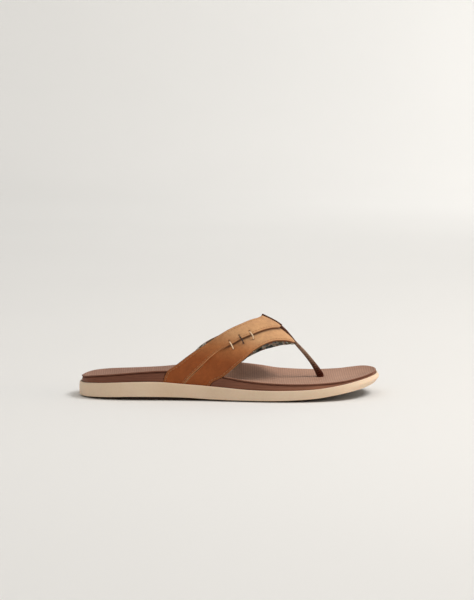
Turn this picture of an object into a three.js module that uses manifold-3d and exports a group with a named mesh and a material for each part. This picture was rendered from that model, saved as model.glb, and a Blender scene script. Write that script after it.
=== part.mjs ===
// A thong sandal (flip flop) for the right foot.
// +X points to the toe, +Y to the inner (medial) side, +Z up; z = 0 is the ground; millimetres.
// The sole is a stack of layers over one outline: rubber outsole, foam cupsole, moulded footbed and
// its cover. Two padded straps rise from slots between cupsole and footbed, follow one arched
// envelope, and meet at a ridge from which a woven toe post runs down through the footbed.

import * as THREE from 'three';
import { mergeVertices } from 'three/addons/utils/BufferGeometryUtils.js';
import Module from 'manifold-3d';

const wasm = await Module();
wasm.setup();

const LATERAL = -1;
const MEDIAL = 1;

// ---------------------------------------------------------------- driving dimensions

const CLEAR = 0.3;              // gap between pieces that rest on each other
const LEATHER = 1.8;            // strap leather
const PAD = 1.3;                // foam between leather and lining
const LINING = 0.8;             // textile lining
const COVER = 1.2;              // footbed cover sheet

const RIM_INSET = 2.1;          // inner face of the cupsole rim, in from the outline
const FOOTBED_INSET = 2.5;      // side of the footbed, and the outer face of the straps
const OUTSOLE_INSET = 4.0;
const SPINE_INSET = 8.0;        // where the middle line of the sole starts, behind heel and toe

// Outline of the cupsole seen from above, from the heel along the lateral side to the toe and back.
const OUTLINE = [
  [-142.5, 0], [-135.5, -19.5], [-117, -31.5], [-90, -36], [-58, -37], [-25, -39.5],
  [8, -44.6], [42, -48.9], [75, -48.1], [103, -40.9], [124, -27.6], [138, -9],
  [142.5, 10], [138.5, 28], [125, 42], [103, 49.8], [75, 51.1], [45, 48],
  [15, 40.5], [-15, 34.5], [-50, 32.5], [-85, 34], [-115, 31], [-135, 19.5],
];

// Heights along the sole, as [x, z].
const TOE_SPRING_START = 55;
const TOE_SPRING_LENGTH = 87.5;
const TOE_SPRING_HEIGHT = 13.2;
const TOE_SPRING_POWER = 1.7;
const outsoleTop = profile([
  [-142, 3.2], [-45, 3.0], [20, 2.6], [55, 2.5], [80, 3.8], [96, 5.6], [115, 8.8], [130, 11.9], [142, 14.7]]);
const cupsoleFoot = profile([
  [-142, 0.7], [-124, 1.9], [-92, 3.2], [-45, 3], [-15, 1.6], [20, 1.2], [50, 1.6], [80, 3.2],
  [96, 5.2], [115, 7.9], [130, 10.2], [142, 12.8]]);
const seat = profile([
  [-142, 9.5], [-90, 10], [-40, 9.5], [0, 8.5], [30, 7.4], [60, 6.8], [88, 8.0], [110, 10.8],
  [128, 14.0], [142, 17.2]]);
const cupsoleTop = {
  [LATERAL]: profile([
    [-142, 13.4], [-127, 15], [-92, 17.1], [-67, 17.4], [-45, 15.9], [-4, 13], [20, 11.3],
    [48, 10.9], [80, 12], [105, 14.9], [122, 17.6], [142, 20.6]]),
  [MEDIAL]: profile([
    [-142, 13.4], [-127, 15], [-92, 16.3], [-30, 17], [0, 15.5], [20, 12.8], [48, 11.2],
    [80, 11.8], [105, 14.4], [122, 17.2], [142, 20.6]]),
};
const rim = {
  [LATERAL]: profile([
    [-142, 18.5], [-127, 22], [-92, 26], [-67, 27.9], [-50, 28], [-30, 27], [-4, 23.2], [17, 19.8],
    [48, 17.5], [80, 17.3], [105, 18.4], [122, 20.4], [142, 23.4]]),
  [MEDIAL]: profile([
    [-142, 18.5], [-127, 20.4], [-92, 21.2], [-67, 22.4], [-40, 25], [-15, 26.2], [10, 25.2],
    [30, 22.2], [48, 18.8], [80, 16.8], [105, 18], [118, 20.2], [130, 22.5], [142, 23.4]]),
};
const dish = profile([
  [-142, 16.2], [-120, 16.4], [-90, 17], [-60, 18], [-20, 18], [20, 16.5], [50, 15], [80, 15.2],
  [105, 16.6], [125, 19.2], [142, 22]]);

// Arched envelope of the straps: ridge height over the foot, and the ridge's place across it.
const ridgeTop = profile([
  [-70, 107], [-40, 100], [-10, 92], [12, 85], [31.6, 76.3], [50, 65.5], [64, 49.5], [72, 38]]);
const THROAT = 31.6;            // x where the two straps part, behind the ridge
const KINK = 50;                // x where the rear bands end on the ridge
const TIP = 64;                 // x of the front point of the straps
const RIDGE_Y = 2;              // ridge's y at the throat
const RIDGE_SKEW = 6 / 32.4;    // the ridge leans to the medial side as it runs forward
const RIDGE_HALF = 1.5;         // half of the slit between the two sides
const ARCH_ANGLE = THREE.MathUtils.degToRad(72);
const WALL_START = 0.8;         // height over the seat where the strap wall begins

// Strap edges on the envelope, as [height fraction, x].
const strapRear = {
  [LATERAL]: profile([
    [0, -63], [0.06, -61.6], [0.14, -57.4], [0.19, -49.4], [0.29, -35.8], [0.416, -19.6],
    [0.576, -2.2], [0.7, 11], [0.8, 19.6], [0.9, 27.2], [1, THROAT]]),
  [MEDIAL]: profile([
    [0, -51], [0.1, -46], [0.19, -37], [0.28, -29.4], [0.36, -19.2], [0.44, -7.4], [0.52, 1.6],
    [0.6, 11], [0.68, 18.3], [0.76, 24.4], [0.88, 30.2], [1, THROAT]]),
};
const strapSeam = {
  [LATERAL]: profile([
    [0, -46.5], [0.09, -38], [0.188, -27.2], [0.34, -11.4], [0.44, 2.6], [0.52, 11.6],
    [0.628, 23.6], [0.728, 32.6], [0.816, 40.2], [0.908, 47.2], [1, KINK]]),
  [MEDIAL]: profile([
    [0, -32], [0.1, -24], [0.2, -12], [0.35, 6], [0.5, 23], [0.65, 36], [0.82, 46], [1, KINK]]),
};
const strapFront = {
  [LATERAL]: profile([
    [0, -20.5], [0.07, -15.4], [0.128, -5.2], [0.284, 11], [0.452, 25.2], [0.536, 32.8],
    [0.628, 41.6], [0.72, 51], [0.884, 60.4], [1, TIP]]),
  [MEDIAL]: profile([
    [0, -9], [0.08, -3], [0.168, 8.1], [0.268, 21.1], [0.344, 30.5], [0.436, 42.5],
    [0.516, 49.5], [0.64, 56.7], [0.868, 62.6], [1, TIP]]),
};

const STEP_LOW = 0.6;           // the front band lies this much below the envelope at its edges
const STEP_SEAM = 2.1;          // and this much under the rear band
const RIDGE_REAR = 0.7;         // the rear bands sink this much at the ridge, beside the piping
const TUCK = 5;                 // width of front band tucked under the rear band
const BUTT_GAP = 0.4;           // gap between the two bands low down, where they lie side by side
const TAIL_LENGTH = 15;         // strap leather turned in under the footbed
const TAIL_RADIUS = 3.1;
const FRONT_END = 0.98;         // the front bands stop short of the ridge, beside the webbing
const PROUD = 0.5;              // lining past the leather's cut edges
const PAD_MARGIN = 4;           // foam in from the leather's edges

// Toe post below the straps: x, y, z along its middle, then its half thickness and half width.
const POST_FREE = [
  [71.3, 9.5, 39.2, 1.9, 2.8], [77.1, 10.5, 32, 2.1, 3.1], [81.6, 11.3, 25.8, 2.5, 3.2],
  [85.4, 12, 19.6, 3.1, 3.1], [87, 12, 16.4, 3.4, 3], [87.5, 12, 13.6, 2.6, 2.8],
];
const POST_RIDGE = [50.5, 54, 57.5, 61, 63.6];
const POST_HALF_THICK = 1.5;
const POST_HALF_WIDTH = 2.2;
const ANCHOR_RADIUS = 11;
const ANCHOR_THICK = 2;

const POST_HOLE_START = 0.72;   // part of the way along the toe post where its passage starts
const SLOT_HALF = [3.1, 3.5];   // the anchor's slot for the webbing, along and across the sole

const PIPING_PROUD = 0.5;       // the rib on the ridge stands this much over the envelope
const PIPING_ROOT = 1.4;        // and reaches this far below the sunk rear bands
const PIPING_HALF_TOP = 0.95;
const PIPING_HALF_ROOT = 0.4;
const PIPING_CROWN = 0.35;      // its sides are this much lower than its middle

const STITCH_RADIUS = 0.65;
const STITCH_HALF = 4.2;        // half the length of a hand stitch
const STITCH_LIFT = 0.35;       // clear height of a hand stitch over the leather
const STITCH_ENTRY = 0.4;       // depth at which a stitch has turned down into the leather
const STITCH_END = 1.3;         // depth of its end
const STITCHES = { [LATERAL]: [0.435, 0.517, 0.602], [MEDIAL]: [0.44, 0.54, 0.63] };

const GROOVES = 11;
const GROOVE_PITCH = 21;
const GROOVE_FIRST = -104;
const GROOVE_WIDTH = 1.6;
const GROOVE_DEPTH = 1.4;
const GROOVE_WAVE = 3;
const GROOVE_WAVE_LENGTH = 18;
const GROOVE_HALF_SPAN = 63;
const OUTSOLE_CHAMFER = [1, 0.6];   // bottom edge of the outsole, in and up

const CUPSOLE_FILLET = 0.9;     // rounding of the cupsole's bottom edge
const CUPSOLE_LIP = [0.7, 0.8]; // rounding of its top edge, in and down
const CUPSOLE_BULGE = 0.1;      // its wall bows out this much
const FOOTBED_BULGE = 0.2;      // the footbed's side bows out this much
const FOOTBED_SHOULDER = [1.3, 0.5];    // drop of its two shoulder rings under the cover
const NOTCH_TOP = 0.21;         // height fraction where a strap leaves the side of the footbed
const NOTCH_OUT = 2;            // the notch's cutter reaches this far out of the envelope

const UNDER_TUCK = [4, 0.8];    // inner layers step down between these distances behind the tuck
const OVER_PAD = [0.2, 0.26, 0.86, 0.92];   // height fractions where the lining passes over the pad

const STATIONS = 36;            // sections along each side of the sole
const BED_EDGE = 1.3;           // rounded shoulder of the footbed, in from its side
const BED_PARTS = [0, 0.12, 0.28, 0.5, 0.75, 1];
const SLIVER = 0.02;            // edges shorter than this are closed up after a cut

// ---------------------------------------------------------------- curves and closed bodies

// A smooth function through [x, value] points, flat beyond both ends.
function profile(points) {
  const slope = (i) => {
    const [x0, y0] = points[Math.max(i - 1, 0)];
    const [x1, y1] = points[Math.min(i + 1, points.length - 1)];
    return (y1 - y0) / (x1 - x0);
  };
  return (x) => {
    if (x <= points[0][0]) return points[0][1];
    const next = points.findIndex(([px]) => px >= x);
    if (next < 0) return points[points.length - 1][1];
    const [x0, y0] = points[next - 1];
    const [x1, y1] = points[next];
    const width = x1 - x0;
    const t = (x - x0) / width;
    const rise = y1 - y0;
    const m0 = slope(next - 1) * width;
    const m1 = slope(next) * width;
    return y0 + t * (m0 + t * (3 * rise - 2 * m0 - m1 + t * (m0 + m1 - 2 * rise)));
  };
}

const lerp = THREE.MathUtils.lerp;
const clamp = THREE.MathUtils.clamp;
const smooth = (x, from, to) => THREE.MathUtils.smoothstep(x, from, to);

// Builds one closed body from triangles of points; it turns them outward if they face in.
function closedBody(triangles) {
  const places = new Map();
  const positions = [];
  const indexOf = (p) => {
    const key = [p.x, p.y, p.z].map((value) => Math.round(value * 1e4)).join();
    if (!places.has(key)) {
      places.set(key, places.size);
      positions.push(p.x, p.y, p.z);
    }
    return places.get(key);
  };
  const index = [];
  let volume = 0;
  for (const [a, b, c] of triangles) {
    const corners = [indexOf(a), indexOf(b), indexOf(c)];
    if (new Set(corners).size < 3) continue;
    index.push(...corners);
    volume += a.dot(new THREE.Vector3().crossVectors(b, c));
  }
  if (volume < 0) index.reverse();
  const geometry = new THREE.BufferGeometry();
  geometry.setAttribute('position', new THREE.Float32BufferAttribute(positions, 3));
  geometry.setIndex(index);
  return geometry;
}

// Closed body between an outer and an inner sheet; each gives a point for a row and a column.
function slab(rows, columns, outer, inner) {
  const triangles = [];
  const quad = (a, b, c, d) => triangles.push([a, b, c], [a, c, d]);
  const grid = (sheet) => rows.map((row) => columns.map((column) => sheet(row, column)));
  const top = grid(outer);
  const bottom = grid(inner);
  const lastRow = rows.length - 1;
  const lastColumn = columns.length - 1;
  for (let i = 0; i < lastRow; i++) {
    for (let j = 0; j < lastColumn; j++) {
      quad(top[i][j], top[i + 1][j], top[i + 1][j + 1], top[i][j + 1]);
      quad(bottom[i][j], bottom[i][j + 1], bottom[i + 1][j + 1], bottom[i + 1][j]);
    }
    quad(top[i][0], bottom[i][0], bottom[i + 1][0], top[i + 1][0]);
    quad(top[i][lastColumn], top[i + 1][lastColumn], bottom[i + 1][lastColumn], bottom[i][lastColumn]);
  }
  for (let j = 0; j < lastColumn; j++) {
    quad(top[0][j], top[0][j + 1], bottom[0][j + 1], bottom[0][j]);
    quad(top[lastRow][j], bottom[lastRow][j], bottom[lastRow][j + 1], top[lastRow][j + 1]);
  }
  return closedBody(triangles);
}

function steps(count, from = 0, to = 1) {
  return Array.from({ length: count + 1 }, (_, i) => lerp(from, to, i / count));
}

function solid(geometry) {
  const merged = mergeVertices(geometry, 1e-5);
  const vertProperties = new Float32Array(merged.attributes.position.array);
  const triVerts = new Uint32Array(merged.index.array);
  return new wasm.Manifold(new wasm.Mesh({ numProp: 3, vertProperties, triVerts }));
}

function cut(geometry, cutters) {
  let body = solid(geometry);
  for (const cutter of cutters) body = body.subtract(solid(cutter));
  const { vertProperties, triVerts } = body.simplify(SLIVER).getMesh();
  const result = new THREE.BufferGeometry();
  result.setAttribute('position', new THREE.BufferAttribute(vertProperties, 3));
  result.setIndex(new THREE.BufferAttribute(triVerts, 1));
  return result;
}

// ---------------------------------------------------------------- sole layers

const outline = new THREE.CatmullRomCurve3(
  OUTLINE.map(([x, y]) => new THREE.Vector3(x, y, 0)), true, 'catmullrom', 0.5);

// Point at part u of the way from heel to toe on one side, moved in from the outline.
function edge(u, side, inset) {
  const onLateral = side === LATERAL || u === 0 || u === 1;
  const t = onLateral ? u / 2 : 1 - u / 2;
  const point = outline.getPoint(t);
  const tangent = outline.getTangent(t);
  return new THREE.Vector3(point.x - tangent.y * inset, point.y + tangent.x * inset, 0);
}

function spine(u) {
  return edge(u, LATERAL, SPINE_INSET).add(edge(u, MEDIAL, SPINE_INSET)).multiplyScalar(0.5);
}

// A ring of a sole layer: inset from the outline, then part of the way to the spine.
function ring(inset, inward, height) {
  const at = (u, side) => {
    const point = edge(u, side, inset).lerp(spine(u), inward);
    point.z = height(point.x, side);
    return point;
  };
  const lateral = steps(STATIONS).map((u) => at(u, LATERAL));
  const medial = steps(STATIONS).slice(1, -1).map((u) => at(u, MEDIAL)).reverse();
  return [...lateral, ...medial];
}

function stack(rings) {
  const triangles = [];
  for (let k = 0; k + 1 < rings.length; k++) {
    const low = rings[k];
    const high = rings[k + 1];
    for (let j = 0; j < low.length; j++) {
      const next = (j + 1) % low.length;
      triangles.push([low[j], low[next], high[next]], [low[j], high[next], high[j]]);
    }
  }
  return closedBody(triangles);
}

function ground(x) {
  const along = Math.max(x - TOE_SPRING_START, 0) / TOE_SPRING_LENGTH;
  return TOE_SPRING_HEIGHT * along ** TOE_SPRING_POWER;
}

// Top of the footbed cover: the rim at the edge, sinking to the dish in the middle.
function bedHeight(x, side, inward) {
  return dish(x) + (rim[side](x) - dish(x)) * (1 - inward) ** 2;
}

function bedRings(below) {
  return BED_PARTS.map((inward) =>
    ring(FOOTBED_INSET + BED_EDGE, inward, (x, side) => bedHeight(x, side, inward) - below));
}

function outsole() {
  const [inwards, upwards] = OUTSOLE_CHAMFER;
  const body = stack([
    ring(OUTSOLE_INSET + inwards, 1, ground),
    ring(OUTSOLE_INSET + inwards, 0, ground),
    ring(OUTSOLE_INSET, 0, (x) => ground(x) + upwards),
    ring(OUTSOLE_INSET, 0, outsoleTop),
    ring(OUTSOLE_INSET, 1, outsoleTop),
  ]);
  const grooves = steps(GROOVES - 1).map((part) => {
    const x0 = GROOVE_FIRST + part * (GROOVES - 1) * GROOVE_PITCH;
    const place = (y, column, z) => {
      const wave = GROOVE_WAVE * Math.cos(y * 2 * Math.PI / GROOVE_WAVE_LENGTH);
      const x = x0 + wave + GROOVE_WIDTH * (column - 0.5);
      return new THREE.Vector3(x, y, z(x));
    };
    return slab(steps(14, -GROOVE_HALF_SPAN, GROOVE_HALF_SPAN), [0, 1],
      (y, column) => place(y, column, (x) => ground(x) + GROOVE_DEPTH),
      (y, column) => place(y, column, (x) => ground(x) - 1));
  });
  return cut(body, grooves);
}

function cupsole() {
  const recess = OUTSOLE_INSET - CLEAR;
  const roof = (x) => outsoleTop(x) + CLEAR;
  const foot = (x) => Math.min(cupsoleFoot(x), roof(x) - 0.1);
  const top = (x, side) => cupsoleTop[side](x);
  const [lipIn, lipDown] = CUPSOLE_LIP;
  const body = stack([
    ring(recess, 1, roof),
    ring(recess, 0, roof),
    ring(recess, 0, foot),
    ring(CUPSOLE_FILLET, 0, foot),
    ring(CUPSOLE_BULGE, 0, (x) => foot(x) + CUPSOLE_FILLET),
    ring(0, 0, (x, side) => lerp(foot(x), top(x, side), 0.5)),
    ring(CUPSOLE_BULGE, 0, (x, side) => top(x, side) - lipDown),
    ring(lipIn, 0, top),
    ring(RIM_INSET, 0, top),
    ring(RIM_INSET, 0, seat),
    ring(RIM_INSET, 1, seat),
  ]);
  return cut(body, [LATERAL, MEDIAL].map(tailPocket));
}

// Room in the cupsole for the turned-in tails of one strap.
function tailPocket(side) {
  const rear = strapRear[side](0) - CLEAR;
  const front = strapFront[side](0) + CLEAR;
  const depth = TAIL_RADIUS - WALL_START + CLEAR;
  const place = (x, reach, lift) => {
    const inward = outward(side, x, 0).negate().setZ(0).normalize();
    return envelope(side, x, 0).addScaledVector(inward, reach).setZ(seat(x) + lift);
  };
  return slab(steps(10, rear, front), [RIM_INSET - FOOTBED_INSET, TAIL_RADIUS + TAIL_LENGTH + CLEAR],
    (x, reach) => place(x, reach, 1),
    (x, reach) => place(x, reach, -depth));
}

function footbed() {
  const top = COVER + CLEAR;
  const [wallTop, shoulder] = FOOTBED_SHOULDER;
  const bottom = (x) => seat(x) + CLEAR;
  const below = (drop) => (x, side) => rim[side](x) - top - drop;
  const body = stack([
    ring(FOOTBED_INSET, 1, bottom),
    ring(FOOTBED_INSET, 0, bottom),
    ring(FOOTBED_INSET - FOOTBED_BULGE, 0, (x, side) => lerp(bottom(x), below(wallTop)(x, side), 0.6)),
    ring(FOOTBED_INSET + 0.1, 0, below(wallTop)),
    ring(FOOTBED_INSET + 1, 0, below(shoulder)),
    ...bedRings(top),
  ]);
  return cut(body, [strapNotch(LATERAL), strapNotch(MEDIAL), postHole(), anchorRecess()]);
}

// Room for the leather and lining of one strap where it passes the side of the footbed.
function strapNotch(side) {
  const room = STEP_LOW + LEATHER + LINING + 4.5 * CLEAR;
  const place = (w, column, depth) => {
    const x = acrossStrap(side, w, column, PROUD + CLEAR);
    return envelope(side, x, w).addScaledVector(outward(side, x, w), -depth);
  };
  return slab([-0.03, ...WALL_ROWS.filter((w) => w < NOTCH_TOP)], steps(7),
    (w, column) => place(w, column, -NOTCH_OUT),
    (w, column) => place(w, column, room));
}

function footbedCover() {
  const top = (inset, below) => ring(inset, 0, (x, side) => rim[side](x) - below);
  const body = stack([
    ...bedRings(COVER).reverse(),
    top(FOOTBED_INSET + 0.1, COVER),
    top(FOOTBED_INSET - 0.1, COVER / 2),
    top(FOOTBED_INSET + 0.4, 0.1),
    ...bedRings(0),
  ]);
  return cut(body, [strapNotch(LATERAL), strapNotch(MEDIAL), postHole()]);
}

// ---------------------------------------------------------------- strap envelope

// y of the outline on one side at x.
function sideY(x, side) {
  let low = 0;
  let high = 1;
  for (let i = 0; i < 24; i++) {
    const middle = (low + high) / 2;
    if (edge(middle, side, 0).x < x) low = middle;
    else high = middle;
  }
  return edge(low, side, 0).y;
}

function ridgeY(x) {
  return RIDGE_Y + (x - THROAT) * RIDGE_SKEW;
}

function envelope(side, x, w) {
  const angle = w * ARCH_ANGLE;
  const base = sideY(x, side) - side * FOOTBED_INSET;
  const ridge = ridgeY(x) + side * RIDGE_HALF;
  const out = (Math.cos(angle) - Math.cos(ARCH_ANGLE)) / (1 - Math.cos(ARCH_ANGLE));
  const up = Math.sin(angle) / Math.sin(ARCH_ANGLE);
  const start = seat(x) + WALL_START;
  return new THREE.Vector3(x, lerp(ridge, base, out), lerp(start, ridgeTop(x), up));
}

// Unit vector out of the envelope.
function outward(side, x, w) {
  const alongX = envelope(side, x + 0.5, w).sub(envelope(side, x - 0.5, w));
  const alongW = envelope(side, x, w + 0.01).sub(envelope(side, x, w - 0.01));
  return alongX.cross(alongW).multiplyScalar(-side).normalize();
}

// Point on a strap: s is the height fraction w, or below 0 the way along the turned-in tail.
function strapPoint(side, x, s, depth) {
  if (s >= 0) return envelope(side, x, s).addScaledVector(outward(side, x, s), -depth);
  const start = envelope(side, x, 0);
  const inward = outward(side, x, 0).negate().setZ(0).normalize();
  const radius = TAIL_RADIUS - depth;
  const turn = Math.min(-s * 2, 1) * Math.PI / 2;
  const flat = Math.max(-s * 2 - 1, 0) * TAIL_LENGTH;
  const reach = TAIL_RADIUS - radius * Math.cos(turn) + flat;
  return start.addScaledVector(inward, reach).setZ(start.z - radius * Math.sin(turn));
}

// x at a part of the way from a strap's rear edge to its front edge, with both edges moved out.
function acrossStrap(side, w, part, beyond) {
  return lerp(strapRear[side](w) - beyond, strapFront[side](w) + beyond, part);
}

function rearDepth(w) {
  return RIDGE_REAR * smooth(w, 0.8, 1);
}

function frontDepth(side, w, x) {
  const part = clamp((x - strapSeam[side](w)) / (strapFront[side](w) - strapSeam[side](w)), 0, 1);
  const atSeam = lerp(STEP_LOW, STEP_SEAM, smooth(w, 0.1, 0.2)) + rearDepth(w);
  return lerp(atSeam, STEP_LOW, smooth(part, 0, 1));
}

// x of the front band's hidden rear edge: beside the rear band low down, under it higher up.
function tuckedEdge(side, w) {
  return strapSeam[side](w) + lerp(BUTT_GAP, -TUCK, smooth(w, 0.2, 0.26));
}

// Depth of the leather's inner face anywhere across the strap.
function underLeather(side, w, x) {
  const tucked = tuckedEdge(side, w);
  const passed = smooth(x, tucked - UNDER_TUCK[0], tucked - UNDER_TUCK[1]);
  return LEATHER + lerp(rearDepth(w), frontDepth(side, w, x), passed);
}

const WALL_ROWS = [0, 0.03, 0.06, 0.1, 0.145, ...steps(13, 0.2, 0.98)];
const TAIL_ROWS = [-1, -0.5, -0.34, -0.17];

function rearBand(side) {
  const place = (s, column, depth) => {
    const w = Math.max(s, 0);
    const x = lerp(strapRear[side](w), strapSeam[side](w), column);
    return strapPoint(side, x, s, rearDepth(w) + depth);
  };
  const body = slab([...TAIL_ROWS, ...WALL_ROWS, 1], steps(5),
    (s, column) => place(s, column, 0),
    (s, column) => place(s, column, LEATHER));
  return cut(body, STITCHES[side].map((w) => handStitch(side, w, CLEAR)));
}

function frontBand(side) {
  const place = (s, column, depth) => {
    const w = Math.max(s, 0);
    const x = lerp(tuckedEdge(side, w), strapFront[side](w), column);
    return strapPoint(side, x, s, frontDepth(side, w, x) + depth);
  };
  const wall = WALL_ROWS.filter((w) => w < FRONT_END - 0.02);
  const body = slab([...TAIL_ROWS, ...wall, FRONT_END], steps(7),
    (s, column) => place(s, column, 0),
    (s, column) => place(s, column, LEATHER));
  return cut(body, STITCHES[side].map((w) => handStitch(side, w, CLEAR)));
}

// Lines along a strap that the layers under the leather follow, from the rear to the front edge.
function layerLines(side, w, margin) {
  const rear = strapRear[side](w) + margin;
  const front = strapFront[side](w) - margin;
  const seam = strapSeam[side](w);
  const [high, low] = UNDER_TUCK.map((distance) => tuckedEdge(side, w) - distance);
  return [rear, (rear + high) / 2, high, low, seam, (seam + front) / 2, front];
}

const PAD_ROWS = WALL_ROWS.filter((w) => w > 0.25 && w < 0.87);
const LINING_ROWS = WALL_ROWS.filter((w) => w < 0.93);

function padding(side) {
  const place = (w, line, depth) => {
    const x = layerLines(side, w, PAD_MARGIN)[line];
    return strapPoint(side, x, w, underLeather(side, w, x) + CLEAR + depth);
  };
  return slab(PAD_ROWS, [0, 1, 2, 3, 4, 5, 6],
    (w, line) => place(w, line, 0),
    (w, line) => place(w, line, line % 6 === 0 ? PAD / 2 : PAD));
}

function lining(side) {
  const place = (w, line, depth) => {
    const atEdge = line < 0 || line > 6;
    const lines = layerLines(side, w, atEdge ? -PROUD : PAD_MARGIN - CLEAR);
    const x = lines[clamp(line, 0, 6)];
    const [start, full, last, end] = OVER_PAD;
    const overPad = atEdge ? 0 : smooth(w, start, full) * (1 - smooth(w, last, end));
    const room = 1.5 * CLEAR + (PAD + CLEAR) * overPad;
    return strapPoint(side, x, w, underLeather(side, w, x) + room + depth);
  };
  return slab(LINING_ROWS, [-1, 0, 1, 2, 3, 4, 5, 6, 7],
    (w, line) => place(w, line, 0),
    (w, line) => place(w, line, LINING));
}

// ---------------------------------------------------------------- ridge, toe post and stitches

// Point on the ridge line, sunk square to it by a depth.
function ridgePoint(x, depth) {
  const slope = ridgeTop(x + 0.5) - ridgeTop(x - 0.5);
  const length = Math.hypot(1, slope);
  return new THREE.Vector3(x + slope / length * depth, ridgeY(x), ridgeTop(x) - depth / length);
}

// Rib that covers the slit between the two rear bands.
function centrePiping() {
  const place = (x, across, half, depth) => {
    const point = ridgePoint(x, depth);
    point.y += half * across;
    return point;
  };
  return slab(steps(6, THROAT - 0.4, KINK), steps(4, -1, 1),
    (x, across) => place(x, across, PIPING_HALF_TOP, PIPING_CROWN * across ** 2 - PIPING_PROUD),
    (x, across) => place(x, across, PIPING_HALF_ROOT, RIDGE_REAR + PIPING_ROOT));
}

const ANCHOR = new THREE.Vector3(87.5, 12, seat(87.5 + ANCHOR_RADIUS) + CLEAR + 0.1);

function postPath(swell) {
  const onRidge = POST_RIDGE.map((x) => {
    const point = ridgePoint(x, POST_HALF_THICK);
    return [point.x, point.y, point.z, POST_HALF_THICK, POST_HALF_WIDTH];
  });
  const end = [ANCHOR.x, ANCHOR.y, ANCHOR.z, 2.2, 2.6];
  const rows = [...onRidge, ...POST_FREE, end];
  const places = new THREE.CatmullRomCurve3(rows.map(([x, y, z]) => new THREE.Vector3(x, y, z)));
  const sizes = new THREE.CatmullRomCurve3(
    rows.map(([, , , thick, width]) => new THREE.Vector3(thick + swell, width + swell, 0)),
    false, 'catmullrom', 0.5);
  return { places, sizes };
}

function toePost(swell = 0, from = 0, to = 1, count = 26) {
  const { places, sizes } = postPath(swell);
  const place = (t, part, face) => {
    const tangent = places.getTangent(t);
    const normal = new THREE.Vector3(-tangent.z, 0, tangent.x).normalize();
    const size = sizes.getPoint(t);
    const across = 2 * part - 1;
    const thick = size.x * Math.sqrt(1 - 0.75 * across ** 2) * face;
    const point = places.getPoint(t).addScaledVector(normal, thick);
    point.y += across * size.y;
    return point;
  };
  return slab(steps(count, from, to), steps(6),
    (t, part) => place(t, part, 1),
    (t, part) => place(t, part, -1));
}

function column(radiusX, radiusY, low, high) {
  const shape = new THREE.CylinderGeometry(1, 1, high - low, 20).rotateX(Math.PI / 2);
  shape.deleteAttribute('normal');
  shape.deleteAttribute('uv');
  shape.scale(radiusX, radiusY, 1);
  return shape.translate(ANCHOR.x, ANCHOR.y, (low + high) / 2);
}

// Passage for the toe post through cover and footbed.
function postHole() {
  return toePost(CLEAR, POST_HOLE_START, 1, 12);
}

function anchorRecess() {
  const radius = ANCHOR_RADIUS + CLEAR;
  return column(radius, radius, ANCHOR.z - 2, ANCHOR.z + ANCHOR_THICK + CLEAR);
}

// Disc under the footbed whose slot grips the end of the toe post.
function toePostAnchor() {
  const disc = column(ANCHOR_RADIUS, ANCHOR_RADIUS, ANCHOR.z, ANCHOR.z + ANCHOR_THICK);
  return cut(disc, [column(...SLOT_HALF, ANCHOR.z - 1, ANCHOR.z + ANCHOR_THICK + 1)]);
}

// Bar of thread over the seam of a strap, its two ends going down into the leather.
function handStitch(side, w, swell = 0) {
  const x = strapSeam[side](w);
  const alongX = envelope(side, x + 0.5, w).sub(envelope(side, x - 0.5, w));
  const alongW = envelope(side, x, w + 0.01).sub(envelope(side, x, w - 0.01)).multiplyScalar(50);
  const seamX = (strapSeam[side](w + 0.01) - strapSeam[side](w - 0.01)) * 50;
  const seamLine = alongX.clone().multiplyScalar(seamX).add(alongW).normalize();
  const across = new THREE.Vector3().crossVectors(outward(side, x, w), seamLine).multiplyScalar(-side);
  const at = (distance, depth) => {
    const step = across.clone().multiplyScalar(distance);
    const xx = alongX.dot(alongX);
    const xw = alongX.dot(alongW);
    const ww = alongW.dot(alongW);
    const sx = step.dot(alongX);
    const sw = step.dot(alongW);
    const determinant = xx * ww - xw * xw;
    const dx = (sx * ww - sw * xw) / determinant;
    const dw = (sw * xx - sx * xw) / determinant;
    return strapPoint(side, x + dx, w + dw, depth);
  };
  const lift = -STITCH_RADIUS - STITCH_LIFT;
  const low = STEP_SEAM * 0.75;
  const path = new THREE.CatmullRomCurve3([
    at(-STITCH_HALF, STITCH_END + swell), at(-STITCH_HALF, STITCH_ENTRY),
    at(-STITCH_HALF + 0.7, lift), at(0, lift),
    at(STITCH_HALF - 1.6, lift + low * 0.5), at(STITCH_HALF - 0.6, lift + low),
    at(STITCH_HALF, low + STITCH_ENTRY), at(STITCH_HALF, low + STITCH_END + swell)]);
  const radius = STITCH_RADIUS + swell;
  const place = (t, turn) => {
    const tangent = path.getTangent(t);
    const sideways = new THREE.Vector3().crossVectors(tangent, seamLine).normalize();
    return path.getPoint(t)
      .addScaledVector(seamLine, radius * Math.cos(turn * Math.PI))
      .addScaledVector(sideways, radius * Math.sin(turn * Math.PI));
  };
  return slab(steps(14), steps(3), (t, turn) => place(t, turn), (t, turn) => place(t, -turn));
}

// ---------------------------------------------------------------- assembly

function paint(colour, roughness, metalness = 0) {
  return new THREE.MeshStandardMaterial({ color: colour, roughness, metalness });
}

const RUBBER = paint(0x3a2a20, 0.85);
const CREAM = paint(0xcdb491, 0.7);
const BROWN_FOAM = paint(0x6a4432, 0.75);
const COVER_SHEET = paint(0x9c7863, 0.85);
const NUBUCK = paint(0xb07440, 0.8);
const FOAM = paint(0xd8d2c4, 0.95);
const TEXTILE = paint(0x46545a, 0.95);
const WEBBING = paint(0x4c3224, 0.9);
const NYLON = paint(0x2b2b2b, 0.5);
const CREAM_THREAD = paint(0xe8cba6, 0.8);
const BROWN_THREAD = paint(0x4a3626, 0.8);

const sandal = new THREE.Group();

function add(name, geometry, material) {
  geometry.computeVertexNormals();
  const mesh = new THREE.Mesh(geometry, material.clone());
  mesh.name = name;
  sandal.add(mesh);
}

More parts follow.
